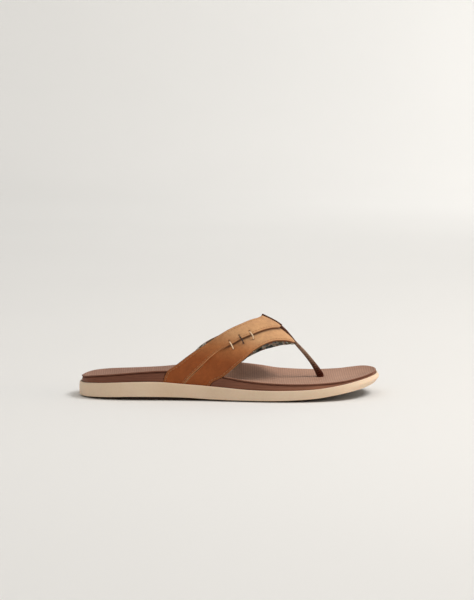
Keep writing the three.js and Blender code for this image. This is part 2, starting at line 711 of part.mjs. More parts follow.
add('outsole', outsole(), RUBBER);
add('cupsole', cupsole(), CREAM);
add('footbed', footbed(), BROWN_FOAM);
add('footbed_cover', footbedCover(), COVER_SHEET);
add('toe_post', toePost(), WEBBING);
add('toe_post_anchor', toePostAnchor(), NYLON);
add('centre_piping', centrePiping(), WEBBING);
for (const [label, side] of [['lateral', LATERAL], ['medial', MEDIAL]]) {
  add(`${label}_rear_band`, rearBand(side), NUBUCK);
  add(`${label}_front_band`, frontBand(side), NUBUCK);
  add(`${label}_padding`, padding(side), FOAM);
  add(`${label}_lining`, lining(side), TEXTILE);
  STITCHES[side].forEach((w, i) => {
    add(`${label}_hand_stitch_${i + 1}`, handStitch(side, w), i === 1 ? BROWN_THREAD : CREAM_THREAD);
  });
}

export default sandal;
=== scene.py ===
import math

import bmesh
import bpy
import numpy as np
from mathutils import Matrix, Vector


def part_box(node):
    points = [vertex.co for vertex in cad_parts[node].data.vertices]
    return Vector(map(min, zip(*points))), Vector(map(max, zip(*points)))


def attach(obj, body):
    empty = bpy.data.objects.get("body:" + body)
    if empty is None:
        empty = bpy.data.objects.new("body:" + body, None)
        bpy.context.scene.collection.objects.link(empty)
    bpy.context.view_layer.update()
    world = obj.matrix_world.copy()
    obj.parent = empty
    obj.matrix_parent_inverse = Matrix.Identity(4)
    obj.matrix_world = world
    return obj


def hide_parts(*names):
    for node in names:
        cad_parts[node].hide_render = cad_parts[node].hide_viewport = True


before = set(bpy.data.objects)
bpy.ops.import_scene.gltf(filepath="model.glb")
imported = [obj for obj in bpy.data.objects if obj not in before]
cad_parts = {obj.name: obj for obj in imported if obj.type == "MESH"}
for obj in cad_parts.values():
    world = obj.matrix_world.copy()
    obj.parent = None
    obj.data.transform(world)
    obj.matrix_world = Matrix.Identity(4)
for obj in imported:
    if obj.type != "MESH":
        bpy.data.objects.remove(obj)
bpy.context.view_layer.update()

# Everything is worked out in millimetres, with +X to the toe, +Y medial and +Z up, and made in
# metres, at the place where the frame has the sole.
LATERAL, MEDIAL = -1, 1
SIDES = (("lateral", LATERAL), ("medial", MEDIAL))
SOLE_LENGTH = 285.0
sole_low, sole_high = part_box("cupsole")
ground_low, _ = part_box("outsole")
UNIT = (sole_high.x - sole_low.x) / SOLE_LENGTH

# -------- dimensions, as in the part

CLEAR = 0.3              # gap between neighbours
LEATHER = 1.8
PAD = 1.3
LINING = 0.8
COVER = 1.2
RIM_INSET = 2.1          # of the recess in the cupsole
FOOTBED_INSET = 2.5
OUTSOLE_INSET = 4.0
SPINE_INSET = 8.0        # of the two lines that the spine of the sole runs midway between
BED_EDGE = 1.3           # width of the bed's rounded rim

OUTLINE = np.array([
    (-142.5, 0), (-135.5, -19.5), (-117, -31.5), (-90, -36), (-58, -37), (-25, -39.5),
    (8, -44.6), (42, -48.9), (75, -48.1), (103, -40.9), (124, -27.6), (138, -9),
    (142.5, 10), (138.5, 28), (125, 42), (103, 49.8), (75, 51.1), (45, 48),
    (15, 40.5), (-15, 34.5), (-50, 32.5), (-85, 34), (-115, 31), (-135, 19.5)])


def profile(*points):
    """A smooth function through (x, value) points, flat beyond both ends."""
    xs, ys = np.array(points, float).T
    wide_x, wide_y = np.pad((xs, ys), ((0, 0), (1, 1)), "edge")
    slopes = (wide_y[2:] - wide_y[:-2]) / (wide_x[2:] - wide_x[:-2])

    def at(x):
        x = np.clip(x, xs[0], xs[-1])
        i = np.clip(np.searchsorted(xs, x, side="left") - 1, 0, len(xs) - 2)
        width = xs[i + 1] - xs[i]
        t = (x - xs[i]) / width
        rise = ys[i + 1] - ys[i]
        m0, m1 = slopes[i] * width, slopes[i + 1] * width
        return ys[i] + t * (m0 + t * (3 * rise - 2 * m0 - m1 + t * (m0 + m1 - 2 * rise)))

    return at


TOE_SPRING_START, TOE_SPRING_LENGTH, TOE_SPRING_HEIGHT, TOE_SPRING_POWER = 55, 87.5, 13.2, 1.7
outsole_top = profile((-142, 3.2), (-45, 3.0), (20, 2.6), (55, 2.5), (80, 3.8), (96, 5.6),
                      (115, 8.8), (130, 11.9), (142, 14.7))
cupsole_foot = profile((-142, 0.7), (-124, 1.9), (-92, 3.2), (-45, 3), (-15, 1.6), (20, 1.2),
                       (50, 1.6), (80, 3.2), (96, 5.2), (115, 7.9), (130, 10.2), (142, 12.8))
seat = profile((-142, 9.5), (-90, 10), (-40, 9.5), (0, 8.5), (30, 7.4), (60, 6.8), (88, 8.0),
               (110, 10.8), (128, 14.0), (142, 17.2))
CUPSOLE_TOP = {
    LATERAL: profile((-142, 13.4), (-127, 15), (-92, 17.1), (-67, 17.4), (-45, 15.9), (-4, 13),
                     (20, 11.3), (48, 10.9), (80, 12), (105, 14.9), (122, 17.6), (142, 20.6)),
    MEDIAL: profile((-142, 13.4), (-127, 15), (-92, 16.3), (-30, 17), (0, 15.5), (20, 12.8),
                    (48, 11.2), (80, 11.8), (105, 14.4), (122, 17.2), (142, 20.6)),
}
RIM = {
    LATERAL: profile((-142, 18.5), (-127, 22), (-92, 26), (-67, 27.9), (-50, 28), (-30, 27),
                     (-4, 23.2), (17, 19.8), (48, 17.5), (80, 17.3), (105, 18.4), (122, 20.4),
                     (142, 23.4)),
    MEDIAL: profile((-142, 18.5), (-127, 20.4), (-92, 21.2), (-67, 22.4), (-40, 25), (-15, 26.2),
                    (10, 25.2), (30, 22.2), (48, 18.8), (80, 16.8), (105, 18), (118, 20.2),
                    (130, 22.5), (142, 23.4)),
}
dish = profile((-142, 16.2), (-120, 16.4), (-90, 17), (-60, 18), (-20, 18), (20, 16.5), (50, 15),
               (80, 15.2), (105, 16.6), (125, 19.2), (142, 22))

ridge_top = profile((-70, 107), (-40, 100), (-10, 92), (12, 85), (31.6, 76.3), (50, 65.5),
                    (64, 49.5), (72, 38))
THROAT, KINK, TIP = 31.6, 50, 64
RIDGE_Y, RIDGE_SKEW, RIDGE_HALF = 2, 6 / 32.4, 1.5
ARCH = math.radians(72)
WALL_START = 0.8
STRAP_REAR = {
    LATERAL: profile((0, -63), (0.06, -61.6), (0.14, -57.4), (0.19, -49.4), (0.29, -35.8),
                     (0.416, -19.6), (0.576, -2.2), (0.7, 11), (0.8, 19.6), (0.9, 27.2),
                     (1, THROAT)),
    MEDIAL: profile((0, -51), (0.1, -46), (0.19, -37), (0.28, -29.4), (0.36, -19.2), (0.44, -7.4),
                    (0.52, 1.6), (0.6, 11), (0.68, 18.3), (0.76, 24.4), (0.88, 30.2),
                    (1, THROAT)),
}
STRAP_SEAM = {
    LATERAL: profile((0, -46.5), (0.09, -38), (0.188, -27.2), (0.34, -11.4), (0.44, 2.6),
                     (0.52, 11.6), (0.628, 23.6), (0.728, 32.6), (0.816, 40.2), (0.908, 47.2),
                     (1, KINK)),
    MEDIAL: profile((0, -32), (0.1, -24), (0.2, -12), (0.35, 6), (0.5, 23), (0.65, 36),
                    (0.82, 46), (1, KINK)),
}
STRAP_FRONT = {
    LATERAL: profile((0, -20.5), (0.07, -15.4), (0.128, -5.2), (0.284, 11), (0.452, 25.2),
                     (0.536, 32.8), (0.628, 41.6), (0.72, 51), (0.884, 60.4), (1, TIP)),
    MEDIAL: profile((0, -9), (0.08, -3), (0.168, 8.1), (0.268, 21.1), (0.344, 30.5),
                    (0.436, 42.5), (0.516, 49.5), (0.64, 56.7), (0.868, 62.6), (1, TIP)),
}
STEP_LOW, STEP_SEAM, RIDGE_REAR = 0.6, 2.1, 0.7
TUCK, BUTT_GAP = 5, 0.4
TAIL_LENGTH, TAIL_RADIUS = 15, 3.1
FRONT_END = 0.98
PROUD, PAD_MARGIN = 0.5, 4
POST_RIDGE = (49.6, 54, 57.5, 61, 63.6)
POST_HALF_THICK, POST_HALF_WIDTH = 1.5, 2.2
POST_FREE = (            # x, y, z, half thickness, half width
    (71.3, 9.5, 39.2, 1.9, 2.8), (77.1, 10.5, 32, 2.1, 3.1), (81.6, 11.3, 25.8, 2.5, 3.2),
    (85.4, 12, 19.6, 3.1, 3.1), (87, 12, 16.4, 3.4, 3), (87.5, 12, 13.6, 2.6, 2.8))
ANCHOR_RADIUS = 11
ANCHOR = np.array((87.5, 12, float(seat(87.5 + ANCHOR_RADIUS)) + CLEAR + 0.1))
STITCHES = {LATERAL: (0.435, 0.517, 0.602), MEDIAL: (0.44, 0.54, 0.63)}
STITCH_HALF, STITCH_RADIUS = 4.2, 0.65
GROOVES, GROOVE_PITCH, GROOVE_FIRST = 11, 21, -104
GROOVE_WIDTH, GROOVE_DEPTH, GROOVE_WAVE, GROOVE_WAVE_HALF = 1.6, 1.4, 3, 9

# -------- dimensions of the finer surface

STATIONS = 300           # sections along each side of the sole
SIPE_PITCH, SIPE_SLANT, SIPE_DEPTH = 5.2, 1.7, 0.45
OUTSOLE_FILLET, OUTSOLE_FILLET_UP = 1, 0.6
TOE_ROUNDING, TOE_ROUNDING_SPAN = 1.7, (108, 141)
SHOULDER = 0.8           # how far the lateral forefoot stays level inside its rim, 0 to 1
SHOULDER_START, SHOULDER_END, SHOULDER_FALL = (15, 45), (92, 118), (0.14, 0.44)
POST_DIP, POST_DIP_RADIUS, POST_DIP_FADE = 0.55, 3.4, 2.2
RECESS_HALF = 38         # half the recess's width, near the strap ends
POCKET_MARGIN = 1.4

# Edges of the sole's layers, as steps of (inset, height above the layer's own line).
CUPSOLE_FOOT_EDGE = ((1.3, 0), (0.8, 0.08), (0.4, 0.35), (0.15, 0.75), (0.02, 1.3))
CUPSOLE_LIP = ((0.3, -1.2), (0.34, -0.85), (0.42, -0.5), (0.6, -0.22), (0.85, -0.06))
CUPSOLE_TOP_EDGE = ((1.15, 0), (1.6, -0.02), (1.9, -0.12), (RIM_INSET, -0.35))
FOOTBED_TOP_EDGE = ((0.42, -1.1), (0.55, -0.8), (0.72, -0.62), (1.0, -0.5))
COVER_EDGE = ((0.9, -COVER), (0.45, -COVER), (0.15, -1.12), (-0.03, -0.9), (-0.1, -0.62),
              (-0.02, -0.36), (0.22, -0.16), (0.55, -0.05), (0.95, 0.0))
COVER_EDGE_BROWN = 7     # how many of the cover's edge steps have the side's colour

TAIL_S = np.concatenate([np.linspace(-1, -0.55, 6), np.linspace(-0.5, -0.03, 14)])
PAD_SPAN, PAD_EDGE = (0.262, 0.855), 0.5
LINING_END = 1.014       # past the ridge's edge, where the two linings meet
LINING_TUCK = 0.8
ROW_INSET, SEAM_ROW_INSET = 2.0, 1.9
ROW_START, ROW_END, FRONT_ROW_END = 0.03, 0.985, 0.95
RIBS_AROUND, RIB_PITCH, RIB_HEIGHT = 12, 2.4, 0.2
PIPING_HALF, PIPING_PITCH = 1.05, 1.6
DOT_PITCH = 2.1
THREAD_PITCH = 0.7       # of the lining's weave
RUBBED = 1.6             # width of the pale rubbed edge of the leather
BAND_ROUND, BAND_ROUND_LOW = 0.6, 0.35
POST_FOOT = (2.2, 2.6)   # half thickness and half width of the post in its anchor
STRAND_PITCH, STRAND_OFFSET, STRAND_RADIUS = 3.4, 0.26, 0.4
ROW_PITCH, ROW_STITCH, ROW_RADIUS = 3.3, 2.5, 0.27
SWEEP_GUIDE = (0.13, 0.31, 0.94)     # a direction in which no thread runs


def lerp(a, b, t):
    return a + (b - a) * t


def smooth(x, low, high):
    t = np.clip((x - low) / (high - low), 0, 1)
    return t * t * (3 - 2 * t)


def unit(v):
    return v / np.linalg.norm(v, axis=-1, keepdims=True)


def full_turn(count):
    return np.linspace(0, 2 * math.pi, count, endpoint=False)


def bell(distance, width):
    """1 at no distance, falling off to 0 over about twice the width."""
    return np.exp(-(distance / width) ** 2)


def ripple(a, b, seed):
    """A smooth, fixed unevenness from -1 to 1 over two coordinates."""
    total = 0
    for k in range(1, 6):
        turn = seed * 1.7 + k * 2.4
        total = total + np.sin(a * k * math.cos(turn) + b * k * math.sin(turn) + turn * 3.1) / k
    return total / 1.9


# -------- meshes

def to_world(points):
    """Millimetres in the part's frame to metres in Blender, at the frame's sole."""
    centre_x = (sole_low.x + sole_high.x) / 2
    centre_y = (sole_low.y + sole_high.y) / 2 - UNIT * SOLE_MIDDLE_Y
    return np.asarray(points) * UNIT + np.array((centre_x, centre_y, ground_low.z))


def link(name, data):
    """A new object in the scene."""
    made = bpy.data.objects.new(name, data)
    bpy.context.scene.collection.objects.link(made)
    return made


def finish_mesh(name, mesh, body):
    """A smooth object from an edited mesh."""
    body.to_mesh(mesh)
    body.free()
    mesh.polygons.foreach_set("use_smooth", np.ones(len(mesh.polygons), bool))
    return link(name, mesh)


def make_object(name, points, faces, data=None):
    """A mesh object from points in millimetres; data holds named values for each point."""
    mesh = bpy.data.meshes.new(name)
    mesh.from_pydata(to_world(points).tolist(), [], faces)
    for key, values in (data or {}).items():
        values = np.asarray(values, np.float32)
        kind, field = ("FLOAT_VECTOR", "vector") if values.ndim == 2 else ("FLOAT", "value")
        mesh.attributes.new(key, kind, "POINT").data.foreach_set(field, values.ravel())
    body = bmesh.new()
    body.from_mesh(mesh)
    bmesh.ops.remove_doubles(body, verts=body.verts, dist=2e-6)
    bmesh.ops.dissolve_degenerate(body, edges=body.edges, dist=1e-7)
    bmesh.ops.recalc_face_normals(body, faces=body.faces)
    return finish_mesh(name, mesh, body)


def grid_faces(rows, columns, start=0):
    """Quads between rows of closed loops."""
    faces = []
    for i in range(rows - 1):
        low = start + i * columns
        high = low + columns
        for j in range(columns):
            k = (j + 1) % columns
            faces.append((low + j, low + k, high + k, high + j))
    return faces


def tubes(name, grids, data=None):
    """One object of closed bodies, each a grid of loops with its two ends capped."""
    points, faces, start = [], [], 0
    for grid in grids:
        rows, columns = grid.shape[:2]
        faces += grid_faces(rows, columns, start)
        faces.append(tuple(range(start, start + columns)))
        start += rows * columns
        faces.append(tuple(range(start - columns, start)))
        points.append(grid.reshape(-1, 3))
    return make_object(name, np.concatenate(points), faces, data)


def tube(name, grid, data):
    """One closed body, with named values that are spread over its grid of points."""
    flat = {}
    for key, values in data.items():
        inner = np.shape(values)[2:]
        flat[key] = np.broadcast_to(values, grid.shape[:2] + inner).reshape(-1, *inner)
    return tubes(name, [grid], flat)


def stack(name, rings, data=None):
    """A closed body from rings that start and end collapsed on the spine."""
    grid = np.stack(rings)
    return make_object(name, grid.reshape(-1, 3), grid_faces(*grid.shape[:2]), data)


def walked(points):
    """How far along a line of points each of them lies."""
    steps = np.linalg.norm(np.diff(points, axis=0), axis=-1)
    return np.concatenate([[0], np.cumsum(steps)])


# -------- sole layers

def outline_at(t):
    """Points of the sole's outline, a closed curve through its corners, at parts t of the way."""
    count = len(OUTLINE)
    s = (np.asarray(t, float) % 1) * count
    i = s.astype(int) % count
    f = (s - s.astype(int))[..., None]
    p0, p1, p2, p3 = (OUTLINE[(i + k) % count] for k in (-1, 0, 1, 2))
    return 0.5 * (2 * p1 + (p2 - p0) * f + (2 * p0 - 5 * p1 + 4 * p2 - p3) * f ** 2
                  + (3 * p1 - p0 - 3 * p2 + p3) * f ** 3)


def edge(u, side, inset):
    """Points of the outline at parts u from heel to toe on one side, moved in by inset."""
    u = np.asarray(u, float)
    t = np.where((side == LATERAL) | (u <= 0) | (u >= 1), u / 2, 1 - u / 2)
    tangent = unit(outline_at(t + 1e-4) - outline_at(t - 1e-4))
    inset = np.broadcast_to(inset, u.shape)
    normal = np.stack([-tangent[..., 1], tangent[..., 0]], -1)
    return outline_at(t) + normal * inset[..., None]


U_LATERAL = np.linspace(0, 1, STATIONS + 1)
HALVES = ((LATERAL, U_LATERAL), (MEDIAL, U_LATERAL[1:-1][::-1]))
SIDE_LINES = {side: edge(np.linspace(0, 1, 1500), side, 0) for side in (LATERAL, MEDIAL)}
SOLE_MIDDLE_Y = (edge(U_LATERAL, LATERAL, 0)[:, 1].min() + edge(U_LATERAL, MEDIAL, 0)[:, 1].max()) / 2


def side_of(x, side):
    return np.interp(x, SIDE_LINES[side][:, 0], SIDE_LINES[side][:, 1])


def spine(u):
    """The middle line on which the rings of the sole's layers close."""
    return (edge(u, LATERAL, SPINE_INSET) + edge(u, MEDIAL, SPINE_INSET)) / 2


def ring(inset, inward, height, extra=None):
    """A closed ring of a sole layer: inset from the outline, then part of the way to the spine.

    height is a function of x and side; extra adds to the inset, from x, side and height.
    """
    halves = []
    for side, us in HALVES:
        here = edge(us, side, inset)
        if extra:
            more = extra(here[:, 0], side, height(here[:, 0], side))
            here = edge(us, side, inset + more)
        here = lerp(here, spine(us), inward)
        halves.append(np.column_stack([here, height(here[:, 0], side)]))
    return np.concatenate(halves)


def bed_ring(inward, below):
    """A ring of the dished top, drawn inwards where a strap passes, at the height of its place."""
    halves = []
    yielding = max(1 - 2 * inward, 0)
    for side, us in HALVES:
        rim_line = edge(us, side, FOOTBED_INSET + BED_EDGE)
        middle = spine(us)
        more = inset_for_strap(rim_line[:, 0], side, RIM[side](rim_line[:, 0]) - COVER)
        here = lerp(edge(us, side, FOOTBED_INSET + BED_EDGE + more * yielding), middle, inward)
        full = np.linalg.norm(rim_line - middle, axis=1)
        left = np.linalg.norm(here - middle, axis=1)
        true_inward = np.clip(1 - left / np.maximum(full, 1e-6), 0, 1)
        true_inward[full < 1e-3] = inward
        halves.append(np.column_stack([here, bed_height(here[:, 0], side, true_inward) - below]))
    return np.concatenate(halves)


def ground(x):
    """The outsole's underside: level, then curving up at the toe."""
    along = np.maximum(x - TOE_SPRING_START, 0) / TOE_SPRING_LENGTH
    return TOE_SPRING_HEIGHT * along ** TOE_SPRING_POWER


def bed_height(x, side, inward):
    """Height of the bed, from the rim to the dish; the lateral forefoot has a level shoulder."""
    along = smooth(x, *SHOULDER_START) * (1 - smooth(x, *SHOULDER_END))
    shoulder = SHOULDER * along * (side == LATERAL)
    fall = lerp((1 - inward) ** 2, 1 - smooth(inward, *SHOULDER_FALL), shoulder)
    return dish(x) + (RIM[side](x) - dish(x)) * fall


# -------- strap envelope

def ridge_y(x):
    return RIDGE_Y + (x - THROAT) * RIDGE_SKEW


def envelope(side, x, w):
    """Points of the arch on which a strap lies, at x and at the height fraction w."""
    x, w = np.broadcast_arrays(np.asarray(x, float), np.asarray(w, float))
    base = side_of(x, side) - side * FOOTBED_INSET
    ridge = ridge_y(x) + side * RIDGE_HALF
    out = (np.cos(w * ARCH) - math.cos(ARCH)) / (1 - math.cos(ARCH))
    up = np.sin(w * ARCH) / math.sin(ARCH)
    start = seat(x) + WALL_START
    return np.stack([x, lerp(ridge, base, out), lerp(start, ridge_top(x), up)], -1)


def slopes(side, x, w):
    """How the envelope runs for each unit of x and of w."""
    along_x = envelope(side, x + 0.5, w) - envelope(side, x - 0.5, w)
    along_w = (envelope(side, x, w + 0.01) - envelope(side, x, w - 0.01)) * 50
    return along_x, along_w


def outward(side, x, w):
    along_x, along_w = slopes(side, x, w)
    return unit(np.cross(along_x, along_w) * -side)


def strap_point(side, x, s, depth):
    """Point on a strap: s is the height fraction, or below 0 the way along the turned-in tail."""
    x, s, depth = np.broadcast_arrays(np.asarray(x, float), np.asarray(s, float), depth)
    w = np.maximum(s, 0)
    wall = envelope(side, x, w) - outward(side, x, w) * depth[..., None]
    start = envelope(side, x, 0)
    inward = -outward(side, x, 0)
    inward[..., 2] = 0
    inward = unit(inward)
    radius = TAIL_RADIUS - depth
    turn = np.minimum(-s * 2, 1) * math.pi / 2
    flat = np.maximum(-s * 2 - 1, 0) * TAIL_LENGTH
    reach = TAIL_RADIUS - radius * np.cos(turn) + flat
    tail = start + inward * reach[..., None]
    tail[..., 2] = start[..., 2] - radius * np.sin(turn)
    return np.where((s >= 0)[..., None], wall, tail)


def rear_depth(w):
    """How deep under the envelope the rear band's top lies."""
    return RIDGE_REAR * smooth(w, 0.8, 1)


def front_depth(side, w, x):
    """How deep the front band's top lies, deepest at the seam."""
    seam, front = STRAP_SEAM[side](w), STRAP_FRONT[side](w)
    part = np.clip((x - seam) / (front - seam), 0, 1)
    at_seam = lerp(STEP_LOW, STEP_SEAM, smooth(w, 0.1, 0.2)) + rear_depth(w)
    return lerp(at_seam, STEP_LOW, smooth(part, 0, 1))


def tucked_edge(side, w):
    """The front band's rear edge, which goes under the rear band above the foot of the strap."""
    return STRAP_SEAM[side](w) + lerp(BUTT_GAP, -TUCK, smooth(w, 0.2, 0.26))


def under_leather(side, w, x):
    """Depth of the lower face of the leather, of whichever band lies lowest."""
    tucked = tucked_edge(side, w)
    passed = smooth(x, tucked - 4, tucked - 0.8)
    return LEATHER + lerp(rear_depth(w), front_depth(side, w, x), passed)


def across_scale(side, line, w):
    """How far apart in millimetres two points 1 mm apart in x are, square to an edge line."""
    w = np.maximum(w, 0)
    after, before = w + 0.004, w - 0.004
    run = unit(envelope(side, line(after), after) - envelope(side, line(before), before))
    along_x = envelope(side, line(w) + 0.5, w) - envelope(side, line(w) - 0.5, w)
    return np.maximum(np.linalg.norm(np.cross(run, along_x), axis=-1), 0.35)


# -------- the sole

def inset_for_strap(x, side, z):
    """How far the footbed's side is pressed in where a strap passes it."""
    start = seat(x) + WALL_START
    up = np.clip((z - start) / (ridge_top(x) - start), 0, 0.6)
    w = np.arcsin(up * math.sin(ARCH)) / ARCH
    rear = STRAP_REAR[side](w)
    front = STRAP_FRONT[side](w)
    inside = smooth(x, rear - 0.2, rear + 0.4) * (1 - smooth(x, front - 0.4, front + 0.2))
    lean = (side_of(x, side) - envelope(side, x, w)[..., 1]) * side
    room = lean + STEP_LOW + LEATHER + LINING + 4.5 * CLEAR - FOOTBED_INSET
    return inside * np.maximum(room, 0)


def more_at_toe(inset):
    """An extra inset for ring(), nothing at the ball and all of it at the toe."""
    return lambda x, side, z: inset * smooth(x, *TOE_ROUNDING_SPAN)


def level(line, up=0):
    """A height for ring(), from a profile or from one for each side, moved up."""
    return lambda x, side: (line[side](x) if isinstance(line, dict) else line(x)) + up


def edge_rings(line, steps, inset=0, up=0, extra=None):
    """Rings round an edge, from (inset, height) steps on a height line."""
    return [ring(inset + more, 0, level(line, up + step), extra) for more, step in steps]


def part_way(low, high, part):
    return lambda x, side: lerp(low(x, side), high(x, side), part)


def cupsole_base(x):
    return np.minimum(cupsole_foot(x), outsole_top(x) + CLEAR - 0.1)


def in_recess_and_pockets(inward):
    """The recess's floor along one ring, lower in the pockets that hold the strap ends."""
    reach = inward * RECESS_HALF
    pocket_end = TAIL_LENGTH + TAIL_RADIUS
    near = 1 - smooth(reach, pocket_end, pocket_end + POCKET_MARGIN)

    def height(x, side):
        rear, front = STRAP_REAR[side](0.0), STRAP_FRONT[side](0.0)
        inside = smooth(x, rear - 1.6, rear - 0.4) * (1 - smooth(x, front + 0.4, front + 1.6))
        return seat(x) - (TAIL_RADIUS - WALL_START + CLEAR) * inside * near

    return height


def groove_depth(x, y):
    """Wavy grooves across the outsole."""
    shift = GROOVE_WAVE * np.cos(y * math.pi / GROOVE_WAVE_HALF)
    near = (x - shift - GROOVE_FIRST) / GROOVE_PITCH
    index = np.clip(np.round(near), 0, GROOVES - 1)
    away = np.abs(near - index) * GROOVE_PITCH
    return GROOVE_DEPTH * (1 - smooth(away, GROOVE_WIDTH / 2 - 0.15, GROOVE_WIDTH / 2 + 0.25))


def sipe_depth(x, y):
    """Shallow diamond cuts between the grooves."""
    a, b = (x + SIPE_SLANT * y) / SIPE_PITCH, (x - SIPE_SLANT * y) / SIPE_PITCH
    line = np.minimum(np.abs(a - np.round(a)), np.abs(b - np.round(b))) * SIPE_PITCH
    return SIPE_DEPTH * (1 - smooth(line, 0.28, 0.62))


def build_outsole():
    rings = []
    for inward in np.linspace(1, 0, 46):
        flat = ring(OUTSOLE_INSET + OUTSOLE_FILLET, inward, level(ground))
        if 0.03 <= inward <= 0.985:
            x, y = flat[:, 0], flat[:, 1]
            flat[:, 2] += np.maximum(groove_depth(x, y), sipe_depth(x, y))
        rings.append(flat)
    fillet = [(OUTSOLE_FILLET * (1 - math.sin(angle)), OUTSOLE_FILLET_UP * (1 - math.cos(angle)))
              for angle in np.linspace(0, math.pi / 2, 5)[1:]]
    rings += edge_rings(ground, fillet, OUTSOLE_INSET)
    rings += edge_rings(outsole_top, ((0, -0.15), (0.15, 0)), OUTSOLE_INSET)
    rings += [ring(OUTSOLE_INSET, inward, level(outsole_top)) for inward in (0.3, 0.7, 1)]
    return stack("outsole_tread", rings)


def build_cupsole():
    recess = OUTSOLE_INSET - CLEAR
    roof = level(outsole_top, CLEAR)
    rings = [ring(recess, inward, roof) for inward in (1, 0.6, 0.2, 0)]
    rings += edge_rings(cupsole_base, ((0, 0.2), (-0.2, 0)), recess)
    rings += edge_rings(cupsole_base, CUPSOLE_FOOT_EDGE, extra=more_at_toe(TOE_ROUNDING))
    # The wall bows out a little in its middle, and more so round the toe.
    for part in np.linspace(0.12, 0.9, 12):
        bow = 0.28 * (2 * part - 1) ** 2
        tuck = TOE_ROUNDING * (1 - part) ** 2.2 + 0.5 * part ** 4 - 0.9 * math.sin(math.pi * part)
        wall = part_way(level(cupsole_base, 1.3), level(CUPSOLE_TOP, -1.5), part)
        rings.append(ring(bow, 0, wall, more_at_toe(tuck)))
    rings += edge_rings(CUPSOLE_TOP, CUPSOLE_LIP, extra=more_at_toe(0.5))
    rings += edge_rings(CUPSOLE_TOP, CUPSOLE_TOP_EDGE)
    rings.append(ring(RIM_INSET, 0, level(seat, 0.3)))
    rings += [ring(RIM_INSET, inward, in_recess_and_pockets(inward))
              for inward in np.linspace(0, 1, 26)]
    return stack("cream_cupsole", rings)


def build_footbed():
    wall_foot = level(seat, CLEAR + 0.3)
    under_cover = -COVER - CLEAR
    rings = [ring(FOOTBED_INSET, inward, level(seat, CLEAR)) for inward in (1, 0.7, 0.4, 0.15)]
    rings += edge_rings(seat, ((0.3, 0), (0, 0.3)), FOOTBED_INSET, CLEAR, inset_for_strap)
    # The side swells out in its middle and draws in under the rim.
    for part in np.linspace(0.08, 0.96, 16):
        bow = 0.1 - 0.35 * math.sin(math.pi * min(part * 1.1, 1)) + 0.25 * part ** 3
        wall = part_way(wall_foot, level(RIM, under_cover - 1.3), part)
        rings.append(ring(FOOTBED_INSET + bow, 0, wall, inset_for_strap))
    rings += edge_rings(RIM, FOOTBED_TOP_EDGE, FOOTBED_INSET, under_cover, inset_for_strap)
    rings += [bed_ring(inward, -under_cover) for inward in np.linspace(0, 1, 22)]
    return stack("moulded_footbed", rings)


def post_dip(x, y):
    """The cover is drawn down a little round the toe post."""
    away = np.hypot(x - ANCHOR[0], (y - ANCHOR[1]) * 1.05)
    return POST_DIP * bell(np.maximum(away - POST_DIP_RADIUS, 0), POST_DIP_FADE)


def build_cover():
    def bed(inward, below):
        flat = bed_ring(inward, below)
        flat[:, 2] -= post_dip(flat[:, 0], flat[:, 1])
        return flat

    rings = [bed(inward, COVER) for inward in np.linspace(1, 0.03, 20)]
    brown = len(rings) + COVER_EDGE_BROWN
    rings += edge_rings(RIM, COVER_EDGE, FOOTBED_INSET, extra=inset_for_strap)
    rings += [bed(inward, 0) for inward in (*np.linspace(0, 0.2, 9), *np.linspace(0.23, 1, 36))]
    side_part = np.zeros((len(rings), len(rings[0])))
    side_part[:brown] = 1
    side_part[brown] = 0.5
    return stack("textured_cover", rings, {"side": side_part.ravel()})


# -------- straps

def band_section():
    """Columns round a leather band: (part across, offset from that edge, depth, how raw it is)."""
    arc = np.linspace(0, math.pi / 2, 5)
    rear_top = [(0, BAND_ROUND * (1 - math.sin(a)), BAND_ROUND * (1 - math.cos(a)),
                 1 if a > 0.4 else 0.4) for a in arc[::-1]]
    top = [(part, BAND_ROUND, 0, 0) for part in np.linspace(0, 1, 58)[1:-1]]
    front_top = [(1, *column[1:]) for column in rear_top[::-1]]
    front_low = [(1, BAND_ROUND_LOW * (1 - math.cos(a)),
                  LEATHER - BAND_ROUND_LOW * (1 - math.sin(a)), 1) for a in arc]
    low = [(part, BAND_ROUND_LOW, LEATHER, 0) for part in np.linspace(1, 0, 16)[1:-1]]
    rear_low = [(0, *column[1:]) for column in front_low[::-1]]
    return np.array(rear_top + top + front_top + front_low + low + rear_low)


def seam_step(side, w, distance):
    """(x, w) at a distance square to the seam line, over the envelope."""
    x = float(STRAP_SEAM[side](w))
    along_x, along_w = slopes(side, x, w)
    seam_x = float(STRAP_SEAM[side](w + 0.01) - STRAP_SEAM[side](w - 0.01)) * 50
    line = unit(along_x * seam_x + along_w)
    step = np.cross(outward(side, x, w), line) * -side * distance
    xx, xw, ww = along_x @ along_x, along_x @ along_w, along_w @ along_w
    sx, sw = step @ along_x, step @ along_w
    determinant = xx * ww - xw * xw
    return x + (sx * ww - sw * xw) / determinant, w + (sw * xx - sx * xw) / determinant


def seam_hole_points(side):
    """Where each hand stitch goes through the leather: (x, w) pairs behind and before the seam."""
    return [seam_step(side, w, way * STITCH_HALF) for w in STITCHES[side] for way in (-1, 1)]


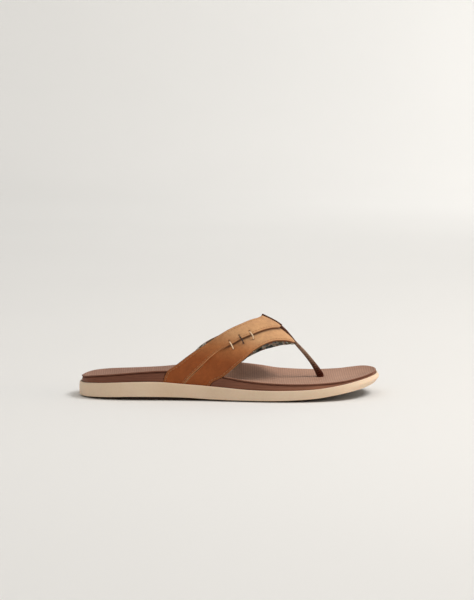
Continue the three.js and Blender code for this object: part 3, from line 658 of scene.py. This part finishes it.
def build_band(name, side, rear_line, front_line, end, depth_at, grooves, seed, seam_part):
    """A leather band with rounded edges, a soft crown, pressed stitch lines and stitch dents.

    Its points carry "lay" (mm from the rear edge, along the band and from the nearer edge), "raw"
    (cut edge), "seam" (the cut edge at the seam), "dark" (painted shade in the stitch dents and
    beside the seam) and "rise" (height).
    """
    s = np.concatenate([TAIL_S, np.linspace(0, end, 210)])[:, None]
    w = np.maximum(s, 0)
    part, offset, depth, raw = band_section().T
    rear, front = rear_line(w), front_line(w)
    k_rear = across_scale(side, rear_line, w)
    k_front = across_scale(side, front_line, w)
    x = (rear + offset / k_rear) * (1 - part) + (front - offset / k_front) * part
    from_edge = {"rear": (x - rear) * lerp(k_rear, k_front, part),
                 "front": (front - x) * lerp(k_rear, k_front, part)}
    nearer = np.minimum(from_edge["rear"], from_edge["front"])
    along = walked(strap_point(side, lerp(rear, front, 0.5), s, 0)[:, 0])[:, None]
    on_top = np.where(depth < 0.01, 1.0, 0.0)

    crown = 0.55 * (1 - (2 * part - 1) ** 4) * smooth(w, 0.02, 0.2) * (1 - 0.6 * smooth(w, 0.85, 1))
    uneven = 0.13 * ripple(along / 9, from_edge["rear"] / 11, seed)
    wrinkles = 0.1 * ripple(along / 3.1, from_edge["rear"] / 16, seed + 3)
    uneven = uneven + wrinkles * (1 - smooth(w, 0.08, 0.3))
    lift = crown + uneven * smooth(nearer, 0, 3)
    for which, distance in grooves:
        lift = lift - 0.2 * bell(from_edge[which] - distance, 0.55)
    dark = 0
    surface = strap_point(side, x, s, 0)
    # Each stitch hole is pressed in, and its dent is painted darker as shade.
    for hole_x, hole_w in seam_hole_points(side):
        away = np.linalg.norm(surface - strap_point(side, hole_x, hole_w, 0), axis=-1)
        lift = lift - 0.75 * bell(away, 0.75) - 0.25 * bell(away, 2.4)
        dark = np.maximum(dark, bell(away, 0.9))
    # On the front band beside the seam, painted shadow of the rear band's overlapping edge.
    if seam_part == 0:
        past_seam = np.maximum(x - STRAP_SEAM[side](w), 0) * k_rear
        seam_shadow = 0.95 * bell(past_seam, 1.7) * smooth(w, 0.34, 0.44)
        dark = np.maximum(dark, seam_shadow * on_top)
    grid = strap_point(side, x, s, depth_at(w, x) + depth - on_top * lift)
    lay = np.stack(np.broadcast_arrays(from_edge["rear"], along, nearer), -1)
    return tube(name, grid, {"lay": lay, "raw": raw, "seam": raw * (part == seam_part),
                             "dark": dark, "rise": w})


def rear_band(label, side):
    return build_band(f"{label}_rear_leather", side, STRAP_REAR[side], STRAP_SEAM[side], 1,
                      lambda w, x: rear_depth(w), (("rear", ROW_INSET), ("front", SEAM_ROW_INSET)),
                      1 + side, 1)


def front_band(label, side):
    return build_band(f"{label}_front_leather", side, lambda w: tucked_edge(side, w),
                      STRAP_FRONT[side], FRONT_END, lambda w, x: front_depth(side, w, x),
                      (("front", ROW_INSET),), 5 + side, 0)


def layer(name, side, s, margin, depth_at, thick, edge_thick):
    """A thin closed body under the leather, and the grid of its upper face.

    margin is how far it stays back from the strap's edges, as a function of the height.
    """
    s = s[:, None]
    c = np.linspace(0, 1, 40)
    rear = lambda w: STRAP_REAR[side](w) + margin(w)
    x = lerp(rear(s), STRAP_FRONT[side](s) - margin(s), c)
    upper = depth_at(s, x)
    full = np.sin(np.clip(np.minimum(c, 1 - c) * 8, 0, 1) * math.pi / 2)
    top = strap_point(side, x, s, upper)
    low = strap_point(side, x, s, upper + lerp(edge_thick, thick, full))
    across = (x - rear(s)) * across_scale(side, rear, s)
    along = walked(top[:, len(c) // 2])[:, None]
    lay = np.stack(np.broadcast_arrays(across, along, 0), -1)
    grid = np.concatenate([top, low[:, ::-1]], 1)
    return tube(name, grid, {"lay": np.concatenate([lay, lay[:, ::-1]], 1)}), top


def padding(label, side):
    made, _ = layer(f"{label}_foam_pad", side, np.linspace(*PAD_SPAN, 90), lambda w: PAD_MARGIN,
                    lambda w, x: under_leather(side, w, x) + CLEAR, PAD, PAD_EDGE)
    return made


def lining(label, side):
    """The lining, which goes over the pad, and the grid of its upper face."""
    def margin(w):
        return lerp(LINING_TUCK, -PROUD, smooth(w, 0.1, 0.24))

    def depth_at(w, x):
        from_edge = np.minimum(x - STRAP_REAR[side](w), STRAP_FRONT[side](w) - x)
        over = smooth(w, 0.2, 0.26) * (1 - smooth(w, 0.86, 0.92)) * smooth(from_edge, 0.5, 3.6)
        return under_leather(side, w, x) + 1.5 * CLEAR + (PAD + CLEAR) * over

    s = np.linspace(0, LINING_END, 178)
    return layer(f"{label}_printed_lining", side, s, margin, depth_at, LINING, LINING)


def sheet_size(top):
    """(width, length, area) in metres of a sheet from its grid of points in millimetres."""
    width = np.linalg.norm(np.diff(top, axis=1), axis=-1).sum(1).max()
    length = np.linalg.norm(np.diff(top, axis=0), axis=-1).sum(0).max()
    cells = np.cross(top[1:, :-1] - top[:-1, :-1], top[:-1, 1:] - top[:-1, :-1])
    area = np.linalg.norm(cells, axis=-1).sum()
    return float(width) * UNIT, float(length) * UNIT, float(area) * UNIT ** 2


# -------- ridge, toe post and stitches

def ridge_point(x, depth):
    """A point at a depth square below the ridge line."""
    slope = ridge_top(x + 0.5) - ridge_top(x - 0.5)
    length = np.hypot(1, slope)
    return np.stack([x + slope / length * depth, ridge_y(x), ridge_top(x) - depth / length], -1)


def path_through(points, count):
    """A smooth path through rows of numbers, the first three being a place in millimetres."""
    points = np.asarray(points, float)
    along = walked(points[:, :3])
    at = np.linspace(0, along[-1], count)
    return at, np.stack([profile(*zip(along, column))(at) for column in points.T], -1)


def ribs(along, turn, pitch, around):
    """Ribs that climb round a tube, 1 on them and 0 between them."""
    return 0.5 + 0.5 * np.cos(2 * math.pi * along[:, None] / pitch + turn * around)


def squarish(v):
    return np.sign(v) * np.abs(v) ** 0.75


def build_toe_post():
    top = [(*ridge_point(x, POST_HALF_THICK), POST_HALF_THICK, POST_HALF_WIDTH)
           for x in POST_RIDGE]
    along, path = path_through([*top, *POST_FREE, (*ANCHOR, *POST_FOOT)], 330)
    place, half_thick, half_width = path[:, None, :3], path[:, 3, None], path[:, 4, None]
    tangent = unit(np.gradient(path[:, :3], axis=0))
    normal = unit(np.cross(tangent, (0, 1, 0)))[:, None]
    turn = full_turn(64)
    rib = (0.75 * ribs(along, turn, RIB_PITCH, RIBS_AROUND)
           + 0.25 * ribs(along, turn, RIB_PITCH, -RIBS_AROUND))
    swell = RIB_HEIGHT * (rib - 0.75)
    out = (half_thick + swell) * squarish(np.sin(turn))
    across = (half_width + swell) * squarish(np.cos(turn))
    grid = place + normal * out[..., None] + np.array((0, 1, 0)) * across[..., None]
    part = along[:, None] / along[-1]
    low = np.maximum(smooth(part, 0.5, 0.9), 0.75 * (1 - smooth(part, 0.2, 0.36)))
    return tube("woven_toe_post", grid, {"rib": rib, "low": low})


def build_piping():
    x = np.linspace(THROAT - 0.4, KINK, 120)
    turn = full_turn(28)
    rib = ribs(walked(np.column_stack([x, ridge_top(x)])), turn, PIPING_PITCH, 2)
    depth = 0.4 - 1.15 * np.sin(turn) - 0.14 * (rib - 0.5)
    grid = ridge_point(x[:, None] + 0 * depth, depth)
    grid[..., 1] += PIPING_HALF * np.cos(turn) * np.where(np.sin(turn) > 0, 1, 0.75)
    return tube("woven_centre_piping", grid, {"rib": rib, "low": 0.9})


def sweep_round(points, radius, sides):
    """Loops of a round thread along a line of points, thinner at both ends."""
    tangent = unit(np.gradient(points, axis=0))
    first = unit(np.cross(tangent, SWEEP_GUIDE))[:, None]
    second = np.cross(tangent[:, None], first)
    turn = full_turn(sides)[:, None]
    radii = np.full((len(points), 1, 1), radius)
    radii[[0, -1]] *= 0.55
    return points[:, None] + (first * np.cos(turn) + second * np.sin(turn)) * radii


def hand_stitch(name, side, w):
    """A bar of two twisted strands over the seam, its ends going down into the leather."""
    def at(distance, depth):
        return strap_point(side, *seam_step(side, w, distance), depth)

    h, over, low = STITCH_HALF, -STITCH_RADIUS - 0.55, STEP_SEAM
    points = [at(-h, 1.3), at(-h, 0.5), at(-h + 0.9, over + 0.2), at(-0.6, over),
              at(h - 2.4, over + low * 0.4), at(h - 0.8, over + low * 0.85),
              at(h, low * 0.75 + 0.6), at(h, low * 0.75 + 1.3)]
    along, path = path_through(points, 70)
    tangent = unit(np.gradient(path, axis=0))
    sideways = unit(np.cross(tangent, outward(side, float(STRAP_SEAM[side](w)), w)))
    up = np.cross(sideways, tangent)
    strands = []
    for phase in (0, math.pi):
        turn = (along / STRAND_PITCH * 2 * math.pi + phase)[:, None]
        centre = path + STRAND_OFFSET * (sideways * np.cos(turn) + up * np.sin(turn))
        strands.append(sweep_round(centre, STRAND_RADIUS, 10))
    return tubes(name, strands)


def lockstitches(name, side, line, offset, depth_at, w_from, w_to):
    """A row of short stitches at an offset from an edge line, each dipping into the leather."""
    w = np.linspace(w_from, w_to, 900)
    x = line(w) + offset / across_scale(side, line, w)
    path = strap_point(side, x, w, depth_at(w, x))
    path_and_normal = np.column_stack([path, outward(side, x, w)])
    along = walked(path)
    t = np.linspace(-1, 1, 9)
    rise = (0.2 * (1 - t ** 4) - 0.24 * t ** 4)[:, None]
    stitches = []
    for i in range(int((along[-1] - 1) / ROW_PITCH)):
        at = (i + 0.5) * ROW_PITCH + 0.5 * ROW_STITCH * t
        row = np.stack([np.interp(at, along, column) for column in path_and_normal.T], -1)
        stitches.append(sweep_round(row[:, :3] + row[:, 3:] * rise, ROW_RADIUS, 7))
    return tubes(name, stitches)


# -------- material helpers

SOCKETS = {"sheen": "Sheen Weight", "sheen_roughness": "Sheen Roughness",
           "sheen_tint": "Sheen Tint", "specular": "Specular IOR Level",
           "subsurface": "Subsurface Weight", "subsurface_scale": "Subsurface Scale"}


def material(name, roughness, **settings):
    """A new material with settings on its shader's sockets, its node tree and its coordinates."""
    made = bpy.data.materials.new(name)
    made.use_nodes = True
    shader = made.node_tree.nodes["Principled BSDF"]
    shader.inputs["Roughness"].default_value = roughness
    for key, value in settings.items():
        shader.inputs[SOCKETS[key]].default_value = value
    return made, made.node_tree, object_coords(made.node_tree)


def srgb(r, g, b):
    """Scene-linear colour of an 8-bit sRGB one."""
    parts = [v / 255 for v in (r, g, b)]
    return (*(v / 12.92 if v <= 0.04045 else ((v + 0.055) / 1.055) ** 2.4 for v in parts), 1)


def grey(v):
    return (v, v, v, 1)


def add_node(tree, kind, inputs=None, **settings):
    """A new shader node, its inputs either linked or set."""
    made = tree.nodes.new("ShaderNode" + kind)
    for key, value in settings.items():
        setattr(made, key, value)
    for key, value in (inputs or {}).items():
        socket = made.inputs[key]
        if isinstance(value, bpy.types.NodeSocket):
            tree.links.new(value, socket)
        else:
            socket.default_value = value
    return made


def object_coords(tree, stretch=(1, 1, 1), shift=(0, 0, 0)):
    coords = add_node(tree, "TexCoord").outputs["Object"]
    return add_node(tree, "Mapping", {
        "Vector": coords, "Scale": stretch, "Location": shift}).outputs[0]


def axis(tree, vector, name):
    return add_node(tree, "SeparateXYZ", {"Vector": vector}).outputs[name]


def attribute(tree, name, what="Fac"):
    return add_node(tree, "Attribute", attribute_name=name).outputs[what]


def noise(tree, coords, scale, detail=2, roughness=0.6):
    return add_node(tree, "TexNoise", {
        "Vector": coords, "Scale": scale, "Detail": detail, "Roughness": roughness}).outputs["Fac"]


def ramp(tree, value, stops, mode="LINEAR"):
    """A colour ramp through stops of (place, colour)."""
    made = add_node(tree, "ValToRGB", {"Fac": value})
    made.color_ramp.interpolation = mode
    elements = made.color_ramp.elements
    while len(elements) < len(stops):
        elements.new(0.5)
    for element, (place, _) in zip(elements, stops):
        element.position = place
    for element, (_, colour) in zip(elements, stops):
        element.color = colour
    return made.outputs["Color"]


def tones(tree, pattern, low, high):
    """From one tone to the other over the middle of a pattern."""
    return ramp(tree, pattern, [(0.3, low), (0.7, high)])


def math_node(tree, operation, a, b=None, clamp=False):
    inputs = {0: a} if b is None else {0: a, 1: b}
    return add_node(tree, "Math", inputs, operation=operation, use_clamp=clamp).outputs[0]


def times(tree, a, b):
    return math_node(tree, "MULTIPLY", a, b)


def wave(tree, shape, value, pitch):
    return math_node(tree, shape, times(tree, value, 2 * math.pi / pitch))


def rising(tree, value, low, high):
    """0 below low, 1 above high and a straight line between."""
    return add_node(tree, "MapRange", {
        "Value": value, "From Min": low, "From Max": high}).outputs["Result"]


def mix(tree, factor, a, b, blend="MIX"):
    """A mix of colours, which have the sockets 6, 7 and 2 of the node."""
    return add_node(tree, "Mix", {0: factor, 6: a, 7: b},
                    data_type="RGBA", blend_type=blend).outputs[2]


def mottle(tree, strength, tone, pattern, span=(0.35, 0.65), greys=(0.3, 0.7)):
    """A tone made darker and lighter by a pattern, from one grey to the other over the span."""
    shade = ramp(tree, pattern, [(place, grey(v)) for place, v in zip(span, greys)])
    return mix(tree, strength, tone, shade, "OVERLAY")


def dress(made, tone, *bumps):
    """Link a material's colour, and bumps of (height, metres, strength) one on top of another."""
    tree = made.node_tree
    shader = tree.nodes["Principled BSDF"]
    tree.links.new(tone, shader.inputs["Base Color"])
    normal = None
    for height, distance, strength in bumps:
        inputs = {"Height": height, "Distance": distance, "Strength": strength}
        if normal is not None:
            inputs["Normal"] = normal
        normal = add_node(tree, "Bump", inputs).outputs["Normal"]
    if normal is not None:
        tree.links.new(normal, shader.inputs["Normal"])
    return made


# -------- materials

def nubuck_material(name, light, dark, seed):
    """Nubuck with painted shade low on the strap and a painted highlight at its top, pale rubbed
    edges and brown cut ones.
    """
    made, tree, _ = material(name, 0.82, sheen=0.25, sheen_roughness=0.45,
                             sheen_tint=srgb(255, 214, 170), specular=0.3)
    coords = object_coords(tree, shift=(seed * 0.37, seed * 0.11, 0))
    cloud = noise(tree, coords, 42, 4)
    nap = noise(tree, coords, 1100, roughness=0.7)
    grain = noise(tree, coords, 330, 3)
    rise = attribute(tree, "rise")
    # Painted shade low on the strap and a painted highlight near its top, by the height.
    tone = ramp(tree, rise, [(0.26, dark), (0.4, srgb(174, 110, 63)), (0.56, light)])
    tone = mottle(tree, 0.35, tone, cloud, (0.3, 0.7))
    tone = mottle(tree, 0.16, tone, nap, (0.3, 0.7), (0.25, 0.75))
    tone = mottle(tree, 0.14, tone, grain, greys=(0.2, 0.8))
    from_edge = axis(tree, attribute(tree, "lay", "Vector"), "Z")
    rubbed = math_node(tree, "SUBTRACT", 1, math_node(tree, "DIVIDE", from_edge, RUBBED), True)
    tone = mix(tree, times(tree, rubbed, 0.35), tone, srgb(206, 150, 100))
    # The seam's cut edge is pale, partly as raw leather and partly as a painted highlight; other cut
    # edges are brown.
    cut = mix(tree, attribute(tree, "seam"), srgb(132, 74, 36), srgb(214, 160, 112))
    # Higher up the strap the cut edges are painted dark, as the shadow under the seam's overlap.
    cut = mix(tree, rising(tree, rise, 0.32, 0.42), cut, srgb(96, 46, 16))
    tone = mix(tree, times(tree, attribute(tree, "raw"), 0.9), tone, cut)
    # Painted shade in the stitch dents and beside the seam.
    tone = mix(tree, times(tree, attribute(tree, "dark"), 0.9), tone, srgb(58, 28, 12))
    return dress(made, tone, (grain, 0.0005, 0.25), (nap, 0.0002, 0.35))


def foam_side_material():
    """Brown foam with fine level streaks, lighter from the ball to the toe."""
    made, tree, coords = material("moulded_brown_foam", 0.62, specular=0.35)
    streak = noise(tree, object_coords(tree, (26, 26, 900)), 1, 3)
    speck = noise(tree, coords, 520)
    heel_tone = tones(tree, streak, srgb(104, 60, 42), srgb(126, 76, 54))
    ball_tone = tones(tree, streak, srgb(130, 84, 63), srgb(154, 104, 80))
    tone = mix(tree, rising(tree, axis(tree, coords, "X"), -0.02, 0.08), heel_tone, ball_tone)
    tone = mottle(tree, 0.2, tone, noise(tree, coords, 34, 3))
    return dress(made, tone, (streak, 0.0004, 0.25), (speck, 0.0002, 0.2))


def cover_material():
    """A sheet with a square grid of raised dots, painted shade between them and towards the heel, its
    side in the brown of the foam.
    """
    made, tree, coords = material("dotted_cover", 0.68, specular=0.3)
    waves = [rising(tree, wave(tree, "COSINE", axis(tree, coords, name), DOT_PITCH * UNIT), -1, 1)
             for name in ("X", "Y")]
    dots = times(tree, *waves)
    speck = noise(tree, coords, 700)
    cloud = noise(tree, coords, 30, 4)
    heel_tone = tones(tree, cloud, srgb(144, 108, 91), srgb(160, 122, 104))
    ball_tone = tones(tree, cloud, srgb(165, 124, 103), srgb(183, 142, 119))
    # Painted shade: the top darkens from the ball back to the heel.
    tone = mix(tree, rising(tree, axis(tree, coords, "X"), -0.08, 0.06), heel_tone, ball_tone)
    # Painted shade between the raised dots, lighter on their tops.
    tone = mottle(tree, 0.8, tone, dots, (0.05, 0.6), (0.4, 0.6))
    tone = mottle(tree, 0.2, tone, speck)
    tone = mix(tree, attribute(tree, "side"), tone, srgb(124, 80, 60))
    return dress(made, tone, (dots, 0.0003, 0.55), (speck, 0.0002, 0.2))


def cream_material():
    made, tree, coords = material("cream_foam", 0.55, specular=0.35, subsurface=0.08,
                                  subsurface_scale=0.004)
    speck = noise(tree, coords, 620)
    tone = tones(tree, noise(tree, coords, 24, 4), srgb(224, 197, 168), srgb(232, 207, 180))
    return dress(made, mottle(tree, 0.08, tone, speck), (speck, 0.0002, 0.2))


# Near-black brown rubber, partly its own colour and partly painted shade for the gap under the sole's
# edge.
def rubber_material():
    made, tree, coords = material("brown_rubber", 0.7, specular=0.35)
    speck = noise(tree, coords, 800)
    tone = tones(tree, noise(tree, coords, 60, 4), srgb(40, 24, 14), srgb(53, 33, 20))
    return dress(made, mottle(tree, 0.25, tone, speck), (speck, 0.0002, 0.3))


def webbing_material():
    """Fuzzy webbing with paler ribs, darker and redder where "low" is 1."""
    made, tree, coords = material("woven_webbing", 0.9, specular=0.12)
    fuzz = noise(tree, coords, 1500, roughness=0.7)
    low = attribute(tree, "low")
    groove = mix(tree, low, srgb(70, 48, 36), srgb(40, 14, 8))
    top = mix(tree, low, srgb(196, 164, 140), srgb(104, 46, 28))
    tone = mix(tree, math_node(tree, "POWER", attribute(tree, "rib"), 1.6), groove, top)
    tone = mottle(tree, 0.45, tone, noise(tree, coords, 260, 3), greys=(0.2, 0.8))
    return dress(made, tone, (fuzz, 0.0002, 0.4))


def thread_material(name, low, high):
    made, tree, coords = material(name, 0.7, sheen=0.15, specular=0.3)
    fibre = noise(tree, coords, 2600, roughness=0.7)
    return dress(made, tones(tree, fibre, low, high), (fibre, 0.0001, 0.5))


def lining_material():
    """Plain weave with a printed pattern of blots."""
    made, tree, coords = material("printed_textile", 0.9, sheen=0.2, specular=0.2)
    blots = noise(tree, coords, 95, roughness=0.5)
    other_blots = noise(tree, object_coords(tree, shift=(0.31, 0.57, 0.13)), 120, roughness=0.5)
    tone = ramp(tree, blots, [(0, srgb(36, 44, 46)), (0.42, srgb(70, 92, 96)),
                              (0.52, srgb(196, 194, 182)), (0.58, srgb(96, 92, 66))], "CONSTANT")
    patches = ramp(tree, other_blots, [(0, grey(0)), (0.6, grey(1))], "CONSTANT")
    lay = attribute(tree, "lay", "Vector")
    weave = times(tree, *(wave(tree, "SINE", axis(tree, lay, name), THREAD_PITCH)
                          for name in ("X", "Y")))
    return dress(made, mix(tree, patches, tone, srgb(128, 78, 56)), (weave, 0.0002, 0.5))


def pad_material():
    made, tree, coords = material("pad_foam", 0.95, specular=0.15)
    cells = add_node(tree, "TexVoronoi", {"Vector": coords, "Scale": 1500}).outputs["Distance"]
    tone = ramp(tree, cells, [(0.1, srgb(186, 178, 160)), (0.7, srgb(222, 216, 200))])
    return dress(made, tone, (cells, 0.0003, 0.5))


def nylon_material():
    made, tree, coords = material("moulded_nylon", 0.45)
    speck = noise(tree, coords, 900)
    return dress(made, tones(tree, speck, srgb(34, 33, 32), srgb(52, 50, 48)), (speck, 0.0001, 0.3))


def floor_material():
    made, tree, coords = material("paper_floor", 0.9, specular=0.1)
    cloud = noise(tree, coords, 1.2, roughness=0.5)
    return dress(made, tones(tree, cloud, (0.8, 0.795, 0.78, 1), (0.82, 0.815, 0.8, 1)))


# -------- assembly

def place(piece, look, slot, *nodes):
    """Give a piece its look, fix it to the body and say which nodes it replaces; slot is not used."""
    piece.data.materials.append(look)
    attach(piece, "root")
    if nodes:
        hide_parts(*nodes)
    return piece


CREAM_LOOK = thread_material("cream_waxed_thread", srgb(226, 196, 158), srgb(246, 222, 190))
BROWN_LOOK = thread_material("brown_waxed_thread", srgb(44, 32, 26), srgb(78, 60, 48))
TAN_LOOK = thread_material("tan_thread", srgb(150, 98, 58), srgb(190, 134, 88))
CREAM, BROWN = (CREAM_LOOK, "cream_thread"), (BROWN_LOOK, "brown_thread")
WEBBING_LOOK = webbing_material()
LINING_LOOK = lining_material()
PAD_LOOK = pad_material()

place(build_outsole(), rubber_material(), "outsole_rubber", "outsole")
place(build_cupsole(), cream_material(), "cream_foam", "cupsole")
place(build_footbed(), foam_side_material(), "brown_foam", "footbed")
place(build_cover(), cover_material(), "cover_sheet", "footbed_cover")
place(build_toe_post(), WEBBING_LOOK, "webbing", "toe_post")
place(build_piping(), WEBBING_LOOK, "webbing", "centre_piping")

# The anchor is hidden and stays the CAD solid.
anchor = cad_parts["toe_post_anchor"]
anchor.data.materials.clear()
anchor.data.materials.append(nylon_material())


def add_strap(label, side):
    """One strap: its two bands, pad and lining, three hand stitches and three rows of stitching."""
    # The nubuck's painted highlight tone for the top and painted shade tone for low down.
    look = nubuck_material(f"{label}_nubuck", srgb(194, 147, 104), srgb(150, 79, 35), side + 2)
    place(rear_band(label, side), look, "nubuck", f"{label}_rear_band")
    place(front_band(label, side), look, "nubuck", f"{label}_front_band")
    pad = place(padding(label, side), PAD_LOOK, "padding_foam", f"{label}_padding")
    cloth, cloth_grid = lining(label, side)
    place(cloth, LINING_LOOK, "lining_textile", f"{label}_lining")
    width, length, area = sheet_size(cloth_grid)
    for i, (w, thread) in enumerate(zip(STITCHES[side], (CREAM, BROWN, CREAM)), 1):
        bar = hand_stitch(f"{label}_waxed_stitch_{i}", side, w)
        place(bar, *thread, f"{label}_hand_stitch_{i}")
    rear_top = lambda w, x: rear_depth(w)
    front_top = lambda w, x: front_depth(side, w, x)
    for row, line, offset, depth_at, end in (
            ("rear_edge", STRAP_REAR, ROW_INSET, rear_top, ROW_END),
            ("seam_edge", STRAP_SEAM, -SEAM_ROW_INSET, rear_top, ROW_END),
            ("front_edge", STRAP_FRONT, -ROW_INSET, front_top, FRONT_ROW_END)):
        stitching = lockstitches(f"{label}_{row}_stitching", side, line[side], offset, depth_at,
                                 ROW_START, end)
        place(stitching, TAN_LOOK, "tan_thread")


for label, side in SIDES:
    add_strap(label, side)

# -------- stage, lights and camera

FLOOR_RADIUS, SWEEP, WALL_TOP = 2.7, 1.5, 3.2       # metres
CAMERA_DISTANCE, CAMERA_X, CAMERA_AIM_Z = 2.0, 0.0074, 0.02
CAMERA_ELEVATION, CAMERA_PITCH = math.radians(9), math.radians(7)
CAMERA_LENS, CAMERA_SENSOR = 126.1, 36              # millimetres


def build_stage():
    """A seamless bowl: a flat round floor that sweeps up into a wall all round."""
    section = [(r, 0) for r in (0.4, 0.9, 1.6, 2.3, FLOOR_RADIUS)]
    section += [(FLOOR_RADIUS + SWEEP * math.sin(a), SWEEP * (1 - math.cos(a)))
                for a in np.linspace(0, math.pi / 2, 25)[1:]]
    section.append((FLOOR_RADIUS + SWEEP, WALL_TOP))
    turns = full_turn(96)
    body = bmesh.new()
    loops = [[body.verts.new((r * math.cos(t), r * math.sin(t), z)) for t in turns]
             for r, z in section]
    body.faces.new(loops[0])
    for low, high in zip(loops, loops[1:]):
        for j in range(len(turns)):
            body.faces.new((low[j - 1], high[j - 1], high[j], low[j]))
    floor = finish_mesh("floor", bpy.data.meshes.new("floor"), body)
    floor.location.z = ground_low.z - 0.00002
    floor.data.materials.append(floor_material())


def area_light(name, direction, aim, distance, size, power, colour):
    """A round light at a distance from the point that it is aimed at."""
    data = bpy.data.lights.new(name, "AREA")
    data.shape, data.size, data.energy, data.color = "DISK", size, power, colour
    way = unit(np.array(direction, float))
    light = link(name, data)
    light.location = np.array(aim) + way * distance
    light.rotation_mode = "QUATERNION"
    light.rotation_quaternion = Vector(-way).to_track_quat("-Z", "Y")


def build_world():
    world = bpy.data.worlds.new("studio")
    world.use_nodes = True
    background = world.node_tree.nodes["Background"]
    background.inputs["Color"].default_value = (1.0, 0.99, 0.97, 1)
    background.inputs["Strength"].default_value = 0.55
    bpy.context.scene.world = world


def build_camera():
    """The picture's view, from the lateral side and a little above."""
    data = bpy.data.cameras.new("camera")
    data.lens, data.sensor_width = CAMERA_LENS, CAMERA_SENSOR
    data.clip_start, data.clip_end = 0.05, 50
    camera = link("camera", data)
    camera.location = (CAMERA_X, -CAMERA_DISTANCE * math.cos(CAMERA_ELEVATION),
                       CAMERA_AIM_Z + CAMERA_DISTANCE * math.sin(CAMERA_ELEVATION))
    camera.rotation_euler = (math.pi / 2 - CAMERA_PITCH, 0, 0)
    bpy.context.scene.camera = camera


build_stage()
area_light("key", (0.55, -0.05, 0.84), (0, 0, 0), 2.4, 1.0, 32.5, (1.0, 0.98, 0.955))
area_light("low_right", (1.0, -0.1, 0.26), (0, 0, 0), 2.2, 0.9, 9, (1.0, 0.8, 0.62))
area_light("wall_wash", (0.5, -1.0, 0.75), (0.45, 4.1, 0.3), 2.6, 1.0, 26, (1.0, 0.985, 0.965))
build_world()
build_camera()
bpy.context.scene.view_settings.view_transform = "Standard"
